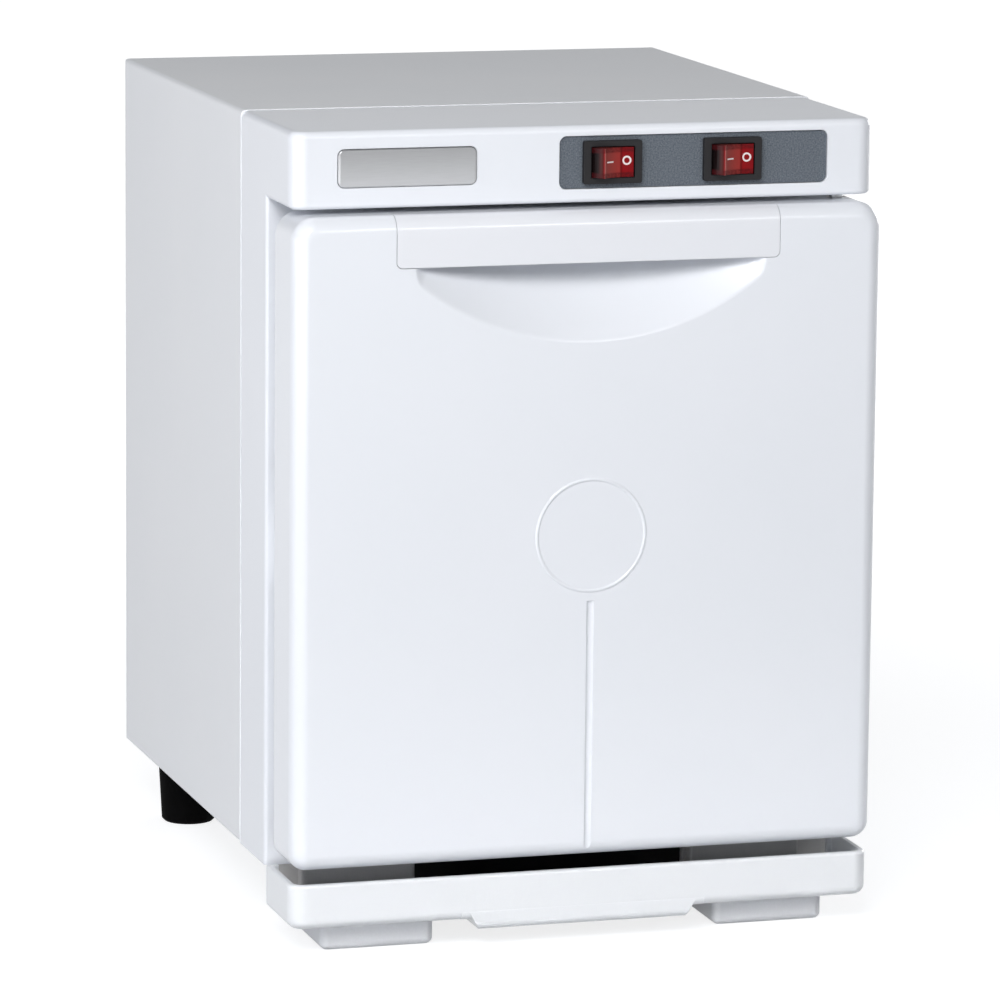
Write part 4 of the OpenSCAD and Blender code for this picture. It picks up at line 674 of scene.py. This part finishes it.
def moulding(node, name, tool, operation, finishes):
    """A copy of a node's mesh, merged, carved with a tool and shaded as one smooth skin."""
    bm = bmesh.new()
    bm.from_mesh(frame["nodes"][node].data)
    bmesh.ops.remove_doubles(bm, verts=bm.verts, dist=CORNER_MERGE * MM)
    mesh = bpy.data.meshes.new(name)
    bm.to_mesh(mesh)
    bm.free()
    piece = bpy.data.objects.new(name, mesh)
    bpy.context.scene.collection.objects.link(piece)
    carving = piece.modifiers.new("carve", "BOOLEAN")
    carving.operation = operation
    carving.solver = "EXACT"
    carving.use_self = operation == "INTERSECT"
    carving.object = tool
    bpy.context.view_layer.update()
    seen = piece.evaluated_get(bpy.context.evaluated_depsgraph_get())
    shaped = bpy.data.meshes.new_from_object(seen)
    shaped.name = name
    piece.modifiers.clear()
    piece.data = shaped
    bpy.data.objects.remove(tool)
    normals = shaped.attributes.get("custom_normal")
    if normals:
        shaped.attributes.remove(normals)
    shaped.polygons.foreach_set("use_smooth", [True] * len(shaped.polygons))
    shaped.set_sharp_from_angle(angle=SMOOTH_UNDER)
    weighted = piece.modifiers.new("weighted", "WEIGHTED_NORMAL")
    weighted.keep_sharp = True
    part = next(item for item in record["subparts"] if item["node"] == node)
    shaped.materials.clear()
    shaped.materials.append(finishes.get(node) or finishes[part["material_slot"]])
    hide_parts(node)
    bodies = record["behaviour"]["bodies"]
    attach(piece, next(body for body, nodes in bodies.items() if node in nodes))


def smooth_low(a, b, blend):
    """The lower of two heights, rounded where they meet."""
    near = max(blend - abs(a - b), 0) / blend
    return min(a, b) - near * near * blend / 4


def scoop_depth(x, up):
    """Depth of the scoop under the door's front, at a height over the insert's lower edge."""
    reach = SCOOP_BALL ** 2 - x * x - (SCOOP_UP - up) ** 2
    dish = math.sqrt(max(reach, 0)) - SCOOP_FAR
    end = SCOOP_END_SLOPE * (SCOOP_END - abs(x))
    return -smooth_low(-smooth_low(dish, end, SCOOP_END_BLEND), 0, SCOOP_RIM_BLEND)


def make_door_moulding(finishes):
    """The door's outer moulding with its finger scoop: a shallow dish with a round rim."""
    door_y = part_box("door_shell")[0].y / MM + RING_PROUD
    edge_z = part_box("handle_insert")[0].z / MM - SCOOP_UNDER_INSERT
    wide = SCOOP_END + SCOOP_MARGIN
    low = SCOOP_R - SCOOP_UP + SCOOP_MARGIN
    bm = bmesh.new()
    bmesh.ops.create_grid(bm, x_segments=round(2 * wide / SCOOP_PITCH),
                          y_segments=round(low / SCOOP_PITCH), size=0.5)
    for vert in bm.verts:
        x = vert.co.x * 2 * wide
        up = (vert.co.y - 0.5) * low
        vert.co = (SCOOP_X + x, door_y + scoop_depth(x, up) - GROWN, edge_z + up)
    front = bmesh.ops.extrude_face_region(bm, geom=bm.faces[:])
    for item in front["geom"]:
        if isinstance(item, bmesh.types.BMVert):
            item.co.y = door_y - SCOOP_MARGIN
    tool = solid_from(bm, "scoop_tool")
    moulding("door_shell", "door_shell_moulding", tool, "DIFFERENCE", finishes)


def soft_block(bm, lo, hi, rounds):
    """A box between two corners with rounded edges: each round is a radius, its steps and the
    test that picks its edges by their two ends."""
    verts = bmesh.ops.create_cube(bm, size=1.0)["verts"]
    bmesh.ops.scale(bm, verts=verts, vec=Vector(hi) - Vector(lo))
    bmesh.ops.translate(bm, verts=verts, vec=(Vector(lo) + Vector(hi)) / 2)
    for radius, steps, picked in rounds:
        edges = [edge for edge in bm.edges if picked(edge.verts[0].co, edge.verts[1].co)]
        bmesh.ops.bevel(bm, geom=edges, offset=radius, offset_type="OFFSET", affect="EDGES",
                        segments=steps, profile=0.5, material=-1, clamp_overlap=True)


def make_tray_moulding(finishes):
    """The drip tray with ball corners, a soft foot and a thin round rim."""
    lo, hi = (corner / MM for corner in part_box("drip_tray"))
    floor_z = lo.z + TRAY_FLOOR_ABOVE_LIP - GROWN
    top_z = hi.z + GROWN
    near_y = lo.y - GROWN
    far_y = lo.y + TRAY_DEPTH + GROWN
    half = hi.x + GROWN
    bm = bmesh.new()
    soft_block(bm, (-half, near_y, floor_z), (half, far_y, top_z), [
        (TRAY_CORNER_R, 10, lambda a, b: abs(a.z - b.z) > CLEAR and a.y < near_y + CLEAR),
        (TRAY_LOW_R, 8, lambda a, b: max(a.z, b.z) < floor_z + ON_FACE),
        (TRAY_RIM_R, 4, lambda a, b: min(a.z, b.z) > top_z - ON_FACE)])
    lip_half = half * TRAY_LIP_SHARE
    soft_block(bm, (-lip_half, lo.y - CLEAR, lo.z - CLEAR),
               (lip_half, hi.y + CLEAR, floor_z + TRAY_LIP_OVERLAP), [])
    tool = solid_from(bm, "tray_tool")
    moulding("drip_tray", "drip_tray_moulding", tool, "INTERSECT", finishes)


def make_badge(finishes):
    """The badge with the soft rim of a domed plate."""
    lo, hi = (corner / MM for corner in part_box("name_badge"))
    back = hi.y + CLEAR
    stretch = BADGE_RIM_W / BADGE_RIM_D
    near_y = back - (back - lo.y + GROWN) * stretch
    bm = bmesh.new()
    soft_block(bm, (lo.x - GROWN, near_y, lo.z - GROWN), (hi.x + GROWN, back, hi.z + GROWN), [
        (BADGE_CORNER_R, 10, lambda a, b: abs(a.y - b.y) > CLEAR),
        (BADGE_RIM_W, 10, lambda a, b: max(a.y, b.y) < near_y + ON_FACE)])
    for vert in bm.verts:
        vert.co.y = back + (vert.co.y - back) / stretch
    tool = solid_from(bm, "badge_tool")
    moulding("name_badge", "name_badge_dome", tool, "INTERSECT", finishes)


def make_foot_moulding(node, side, web_short, finishes):
    """A front foot: its low pad is round on every edge, and the block behind stays square. The
    side is -1 at the left, and the web may end short of the foot's outer end."""
    lo, hi = (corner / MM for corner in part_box(node))
    outer, inner = (hi.x, lo.x) if side > 0 else (lo.x, hi.x)
    pad = sorted((inner + side * FOOT_WEB_IN, outer - side * FOOT_WEB_OUT))
    web = sorted((inner - side * CLEAR, outer - side * web_short))
    bm = bmesh.new()
    soft_block(bm, (pad[0] - GROWN, lo.y - GROWN, lo.z - GROWN),
               (pad[1] + GROWN, hi.y + GROWN, FOOT_H + GROWN), [(FOOT_R, 8, lambda a, b: True)])
    soft_block(bm, (web[0], lo.y + FOOT_BLOCK_BACK, FOOT_H - FOOT_R),
               (web[1], hi.y + CLEAR, hi.z + CLEAR), [])
    tool = solid_from(bm, node + "_tool")
    moulding(node, node + "_moulding", tool, "INTERSECT", finishes)


bpy.context.scene.view_settings.view_transform = "Standard"
make_camera()
make_world()
make_floor()
make_lights()
finishes = make_finishes()
dress_nodes(finishes)
make_door_moulding(finishes)
make_tray_moulding(finishes)
make_badge(finishes)
make_foot_moulding("front_foot_left", -1, FOOT_WEB_SHORT, finishes)
make_foot_moulding("front_foot_right", 1, -CLEAR, finishes)
make_rocker_marks()
